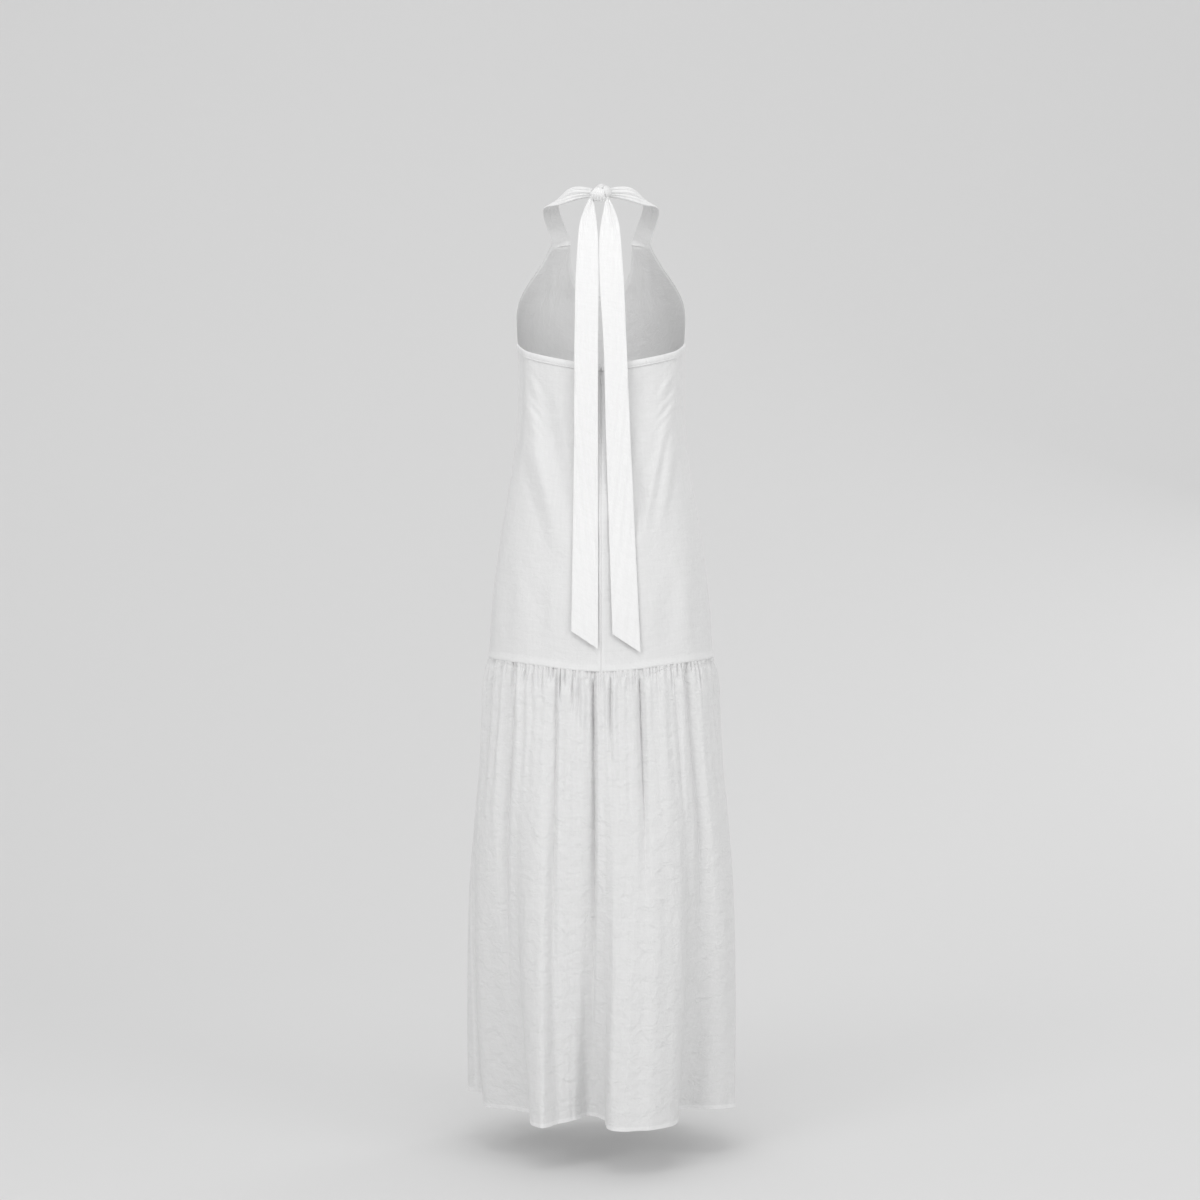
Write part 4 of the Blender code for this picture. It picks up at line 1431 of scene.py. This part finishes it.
def fan_point(u, v):
    """A point of the wrap that covers the knot: u across the fan of pleats, v from its apex to its foot."""
    aside = 2 * u - 1
    path = []
    for apex, middle, foot in zip(FAN_APEX, FAN_MIDDLE, FAN_FOOT):
        path.append((1 - v) ** 2 * apex + 2 * v * (1 - v) * (2 * middle - (apex + foot) / 2) + v**2 * foot)
    x, y, z = path
    half = FAN_HALF_WIDTH * (0.26 + 0.74 * v**0.8)
    slope = FAN_APEX - FAN_FOOT
    lean = math.atan2(slope.x, slope.z)
    out = -0.0070 * aside**2 * (0.4 + 0.6 * v)
    pleat = FAN_PLEAT_DEPTH * (0.3 + 0.7 * v) * np.cos(2 * math.pi * FAN_PLEATS * u)
    scallop = 0.0008 * v**6 * np.cos(2 * math.pi * FAN_PLEATS * u)
    drop = -0.0030 * aside**2 * v
    x = x + half * aside * math.cos(lean)
    z = z - half * aside * math.sin(lean) - scallop - drop
    return x, y + out + pleat, z


def add_lump(shell, lump):
    """One rounded fold of the knot, pleated lengthwise."""
    turn = Matrix.Rotation(math.radians(lump.turn), 4, "Y")
    size = Matrix.Diagonal((lump.width, lump.depth, lump.length, 1))
    place = Matrix.Translation((lump.x, lump.y, lump.z)) @ turn @ size
    made = bmesh.ops.create_uvsphere(shell, u_segments=48, v_segments=24, radius=1)
    for vertex in made["verts"]:
        ring = math.atan2(vertex.co.y, vertex.co.x)
        waist = 1 - vertex.co.z**2
        vertex.co *= 1 + lump.pleat_depth * waist * math.cos(lump.pleats * ring)
        vertex.co = place @ vertex.co


def make_knot():
    shell = bmesh.new()
    for lump in KNOT_LUMPS:
        add_lump(shell, lump)
    bmesh.ops.recalc_face_normals(shell, faces=shell.faces[:])
    keep(show("knot_folds", mesh_from("knot_folds", shell), doubled_cotton()), COTTON_SLOT)
    mesh = grid_mesh("knot_wrap", np.linspace(0, 1, 85), np.linspace(0, 1, 40), fan_point, 1)
    wrap = wall_of(show("knot_wrap", mesh, doubled_cotton()), 0.0014, 0.0004)
    keep(wrap, COTTON_SLOT, "knot")


def tie_point(table, ends, creases, u, v):
    """A point of a tie's outer face: u runs from its inner to its outer edge, v from the knot down."""
    top = table[0].height
    end = ends[0] + (ends[1] - ends[0]) * u
    height = top + (end - top) * v
    inner, outer = smooth(table, height)
    x = inner + (outer - inner) * u
    width = np.abs(outer - inner)
    (hang,) = smooth(TIE_HANG, height)
    off = TIE_OFF_TOP + (TIE_OFF_END - TIE_OFF_TOP) * v**4
    on_back = np.minimum(height, BACK_TOP)
    middle = (inner + outer) / 2
    lying = np.maximum(back_depth(x, on_back), back_depth(middle, on_back) - TIE_CUPPING)
    settled = rise((TIE_LIES_FROM - height) / TIE_SETTLE)
    lifted = lying + off - hang
    y = hang + settled * (lifted + np.sqrt(lifted**2 + TIE_SOFTNESS**2)) / 2
    down = top - height
    from_edge = np.minimum(u, 1 - u) * width
    bundle = 1 - rise(down / 0.09)
    out = TIE_WALL + 0.0034 * bundle * np.sin(math.pi * u) ** 0.8
    out += 0.00028 * bell((from_edge - 0.0028) / 0.0032) + groove(from_edge, 0.0005, 0.0010)
    for crease in creases:
        share = np.clip(down / crease.length, 0, 1)
        place = crease.top + (crease.low - crease.top) * share
        spread = crease.width * (0.6 + 0.8 * share)
        out -= crease.depth * valley((u - place) * width / spread) * rise((1 - share) / 0.8)
    out += 0.00035 * ripples(17, 5, u * 0.4 + v, down * 1.5, (3, 9))
    return x, y + out, height


def make_ties():
    ties = (
        ("tie_end_left", TIE_LEFT, TIE_LEFT_ENDS, TIE_LEFT_CREASES),
        ("tie_end_right", TIE_RIGHT, TIE_RIGHT_ENDS, TIE_RIGHT_CREASES),
    )
    t = np.linspace(0, 1, 210)
    rows = 0.35 * t + 0.65 * t**1.7
    for name, *shape in ties:
        mesh = grid_mesh(name + "_strip", crowded(37, 0.4), rows, partial(tie_point, *shape), 1)
        tie = wall_of(show(name + "_strip", mesh, doubled_cotton()), TIE_WALL, 0.0004)
        keep(tie, COTTON_SLOT, name)


def tape_point(side, u, v):
    """A point of a zip tape: u from the coil outwards, v downwards."""
    height = TAPE_TOP + (TAPE_BOTTOM - TAPE_TOP) * v
    x = TAPE_EDGE + TAPE_WIDTH * u
    y = back_depth(x * side, height) - TAPE_DEPTH - 0.0006 * bell(u / 0.15)
    return side * x, y, height


def coil_mesh(name, side):
    """The turns of the coil on one tape, which mesh with those of the other."""
    coil = bmesh.new()
    size = Matrix.Diagonal((*COIL_TURN, 1))
    for i in range(int((TAPE_TOP - TAPE_BOTTOM) / COIL_PITCH)):
        height = TAPE_TOP - COIL_PITCH * (i + (0.5 if side == LEFT else 0.0))
        y = float(back_depth(np.array(0.0), np.array(height))) - TAPE_DEPTH - 0.0016
        place = Matrix.Translation((side * COIL_TURN[0] / 2, y, height)) @ size
        bmesh.ops.create_icosphere(coil, subdivisions=2, radius=1, matrix=place)
    return mesh_from(name, coil)


def make_zip():
    """The tapes and their coil inside the centre seam, and the finish of the slider and pull."""
    for word, side in (("left", LEFT), ("right", RIGHT)):
        name = "zip_tape_" + word
        columns, rows = np.linspace(0, 1, 13), np.linspace(0, 1, 140)
        mesh = grid_mesh(name + "_ribbon", columns, rows, partial(tape_point, side), 1)
        tape = wall_of(show(name + "_ribbon", mesh, tape_cotton()), 0.0004, 0.0001)
        keep(tape, "zip_tape", name)
        coil = "zip_coil_" + word
        keep(show(coil, coil_mesh(coil, side), zip_nylon()), "zip_tape")
    for node in ("zip_slider", "zip_pull"):
        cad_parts[node].data.materials.clear()
        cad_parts[node].data.materials.append(zip_metal())


def stitch_row(name, points, normals):
    """Stitches along a line of points, each a small flattened bead of thread."""
    settings = bpy.context.scene.dress_stitch
    lengths = np.linalg.norm(np.diff(points, axis=0), axis=1)
    travelled = np.concatenate(((0,), np.cumsum(lengths)))

    def along(values, at):
        return Vector([np.interp(at, travelled, values[:, axis]) for axis in range(3)])

    size = Matrix.Diagonal((settings.length / 2, settings.thread / 2, settings.thread / 2, 1))
    row = bmesh.new()
    for i in range(int(travelled[-1] / settings.spacing)):
        at = settings.spacing * (i + 0.5)
        place = along(points, at)
        run = (along(points, at + 0.001) - place).normalized()
        up = along(normals, at)
        up = (up - run * up.dot(run)).normalized()
        turn = Matrix((run, up.cross(run), up)).transposed().to_4x4()
        matrix = Matrix.Translation(place) @ turn @ size
        bmesh.ops.create_icosphere(row, subdivisions=1, radius=1, matrix=matrix)
    keep(show(name, mesh_from(name, row), thread_material()), COTTON_SLOT)


def line_normals(points):
    """Level directions away from the middle of the dress."""
    flat = points * np.array((1, 1, 0))
    return flat / np.linalg.norm(flat, axis=1, keepdims=True)


def make_stitching():
    """The topstitching of the bands, the hem, the armholes and the neckline."""
    settings, creases = bpy.context.scene.dress_tier, all_creases()
    u = np.linspace(0.01, 0.995, 400)
    for word, side in (("left", LEFT), ("right", RIGHT)):
        points = np.stack(band_point(side, u, np.full_like(u, BAND_STITCH_DOWN), 0.0009), axis=-1)
        stitch_row("band_stitches_" + word, points, line_normals(points))
    for word, start in TIER_HALVES:
        angle = np.linspace(start + 0.5, start + 179.5, 1600)
        share = np.full_like(angle, 1 - (HEM_TURN - HEM_STITCH) / TIER_LENGTH)
        points = np.stack(tier_point(creases, settings, angle, share), axis=-1)
        across, along, _ = tier_normal(angle, share)
        normals = np.stack((across, along, np.zeros_like(across)), axis=-1)
        stitch_row("hem_stitches_" + word, points, normals)
    v = np.linspace(0, 1, 600)
    edge = 1 - (EDGE_TURN - EDGE_STITCH) / FRONT_SPREAD
    for word, side in (("left", LEFT), ("right", RIGHT)):
        points = np.stack(front_point(np.full_like(v, side * edge), v, 0.0001), axis=-1)
        points = points[points[:, 2] > SIDE_CORNER]
        stitch_row("armhole_stitches_" + word, points, line_normals(points))
    u = np.linspace(-NECKLINE_SHARE, NECKLINE_SHARE, 500)
    height = neckline(u) - EDGE_TURN + EDGE_STITCH
    bottom = seam_height(180 + 90 * u)
    points = np.stack(front_point(u, (height - bottom) / (neckline(u) - bottom), 0.0001), axis=-1)
    stitch_row("neckline_stitches", points, line_normals(points))


# ---- Stage ----


def paper_material():
    settings = bpy.context.scene.dress_stage
    dark = tuple(0.985 * part for part in settings.paper)
    material = grained("Backdrop paper", dark, tuple(settings.paper), (0.75, 0.85), 0.0, 30.0, 0.02)
    shader = material.node_tree.nodes["Principled BSDF"]
    # The paper glows by itself: painted light that lightens the shadow on the floor under the dress
    shader.inputs["Emission Color"].default_value = (1, 1, 1, 1)
    shader.inputs["Emission Strength"].default_value = settings.painted_glow
    return material


def backdrop_point(u, v):
    """The round backdrop: a flat floor, a quarter round, and an upright wall."""
    arc = BACKDROP_CURVE * math.pi / 2
    path = v * (BACKDROP_FLOOR + arc + BACKDROP_WALL)
    turn = np.clip((path - BACKDROP_FLOOR) / BACKDROP_CURVE, 0, math.pi / 2)
    radius = np.minimum(path, BACKDROP_FLOOR) + BACKDROP_CURVE * np.sin(turn)
    up = BACKDROP_CURVE * (1 - np.cos(turn)) + np.maximum(path - BACKDROP_FLOOR - arc, 0)
    round_by = 2 * math.pi * u
    return radius * np.sin(round_by), BACKDROP_MIDDLE + radius * np.cos(round_by), FLOOR + up


def add_soft_box(box, power):
    light = bpy.data.lights.new(box.name, "AREA")
    light.shape = "RECTANGLE"
    light.size, light.size_y = box.size
    light.energy = power
    obj = bpy.data.objects.new(box.name, light)
    obj.location = box.place
    obj.rotation_euler = (Vector(box.target) - Vector(box.place)).to_track_quat("-Z", "Y").to_euler()
    bpy.context.scene.collection.objects.link(obj)


def make_stage():
    """The round paper backdrop, the soft light and the camera behind the dress."""
    settings = bpy.context.scene.dress_stage
    mesh = grid_mesh("backdrop", np.linspace(0, 1, 129), np.linspace(0, 1, 90), backdrop_point, 0)
    show("backdrop", mesh, paper_material())
    world = bpy.data.worlds.new("Studio")
    bpy.context.scene.world = world
    world.use_nodes = True
    sky = world.node_tree.nodes.get("Background") or world.node_tree.nodes.new("ShaderNodeBackground")
    sky.inputs["Color"].default_value = (1, 1, 1, 1)
    sky.inputs["Strength"].default_value = settings.ambient
    for box in SOFT_BOXES:
        add_soft_box(box, getattr(settings, box.setting))
    camera = bpy.data.cameras.new("Camera")
    camera.sensor_fit = "AUTO"
    camera.angle = 2 * math.atan(settings.view_height / 2 / settings.camera_distance)
    camera.clip_end = 30
    obj = bpy.data.objects.new("Camera", camera)
    obj.location = (CAMERA_X, settings.camera_distance, FLOOR + settings.camera_height)
    obj.rotation_euler = (math.pi / 2, 0, math.pi)
    bpy.context.scene.collection.objects.link(obj)
    bpy.context.scene.camera = obj
    bpy.context.scene.view_settings.view_transform = "Standard"


# ---- Operators ----


class DRESS_OT_bodice_back(Operator):
    """Models the two back panels with their drag folds"""

    bl_idname = "dress.bodice_back"
    bl_label = "Back panels"

    def execute(self, context):
        make_backs()
        return {"FINISHED"}


class DRESS_OT_bands(Operator):
    """Models the turned bands along the back's top edge"""

    bl_idname = "dress.bands"
    bl_label = "Back bands"

    def execute(self, context):
        make_bands()
        return {"FINISHED"}


class DRESS_OT_bodice_front(Operator):
    """Models the halter front"""

    bl_idname = "dress.bodice_front"
    bl_label = "Halter front"

    def execute(self, context):
        make_front()
        return {"FINISHED"}


class DRESS_OT_tier(Operator):
    """Models the gathered tier, back and front"""

    bl_idname = "dress.tier"
    bl_label = "Gathered tier"

    def execute(self, context):
        make_tier()
        return {"FINISHED"}


class DRESS_OT_straps(Operator):
    """Models the two rolled halter straps"""

    bl_idname = "dress.straps"
    bl_label = "Halter straps"

    def execute(self, context):
        make_straps()
        return {"FINISHED"}


class DRESS_OT_knot(Operator):
    """Models the knot at the nape"""

    bl_idname = "dress.knot"
    bl_label = "Knot"

    def execute(self, context):
        make_knot()
        return {"FINISHED"}


class DRESS_OT_ties(Operator):
    """Models the free ends of the ties"""

    bl_idname = "dress.ties"
    bl_label = "Tie ends"

    def execute(self, context):
        make_ties()
        return {"FINISHED"}


class DRESS_OT_zip(Operator):
    """Models the zip's tapes and coil, and finishes its slider and pull"""

    bl_idname = "dress.zip"
    bl_label = "Zip"

    def execute(self, context):
        make_zip()
        return {"FINISHED"}


class DRESS_OT_stitching(Operator):
    """Sews the topstitching of the bands, hem, armholes and neckline"""

    bl_idname = "dress.stitching"
    bl_label = "Topstitching"

    def execute(self, context):
        make_stitching()
        return {"FINISHED"}


class DRESS_OT_stage(Operator):
    """Sets up the floor, light and camera"""

    bl_idname = "dress.stage"
    bl_label = "Stage"

    def execute(self, context):
        make_stage()
        return {"FINISHED"}


OPERATORS = (
    DRESS_OT_bodice_back,
    DRESS_OT_bands,
    DRESS_OT_bodice_front,
    DRESS_OT_tier,
    DRESS_OT_straps,
    DRESS_OT_knot,
    DRESS_OT_ties,
    DRESS_OT_zip,
    DRESS_OT_stitching,
    DRESS_OT_stage,
)
SETTINGS = (
    ("dress_cloth", ClothSettings),
    ("dress_tier", TierSettings),
    ("dress_stitch", StitchSettings),
    ("dress_stage", StageSettings),
)


class DRESS_PT_panel(Panel):
    """Lists the dress's pieces and sizes"""

    bl_idname = "DRESS_PT_panel"
    bl_label = "Halter Maxi Dress"
    bl_space_type = "VIEW_3D"
    bl_region_type = "UI"
    bl_category = "Dress"

    def draw(self, context):
        for operator in OPERATORS:
            self.layout.operator(operator.bl_idname)
        for name, group in SETTINGS:
            box = self.layout.box()
            for field in group.__annotations__:
                box.prop(getattr(context.scene, name), field)


def register():
    for name, group in SETTINGS:
        bpy.utils.register_class(group)
        setattr(bpy.types.Scene, name, PointerProperty(type=group))
    for operator in OPERATORS:
        bpy.utils.register_class(operator)
    bpy.utils.register_class(DRESS_PT_panel)


def unregister():
    bpy.utils.unregister_class(DRESS_PT_panel)
    for operator in reversed(OPERATORS):
        bpy.utils.unregister_class(operator)
    for name, group in reversed(SETTINGS):
        delattr(bpy.types.Scene, name)
        bpy.utils.unregister_class(group)


def main():
    register()
    bpy.ops.dress.bodice_back()
    bpy.ops.dress.bands()
    bpy.ops.dress.bodice_front()
    bpy.ops.dress.tier()
    bpy.ops.dress.straps()
    bpy.ops.dress.knot()
    bpy.ops.dress.ties()
    bpy.ops.dress.zip()
    bpy.ops.dress.stitching()
    bpy.ops.dress.stage()


if __name__ == "__main__":
    main()
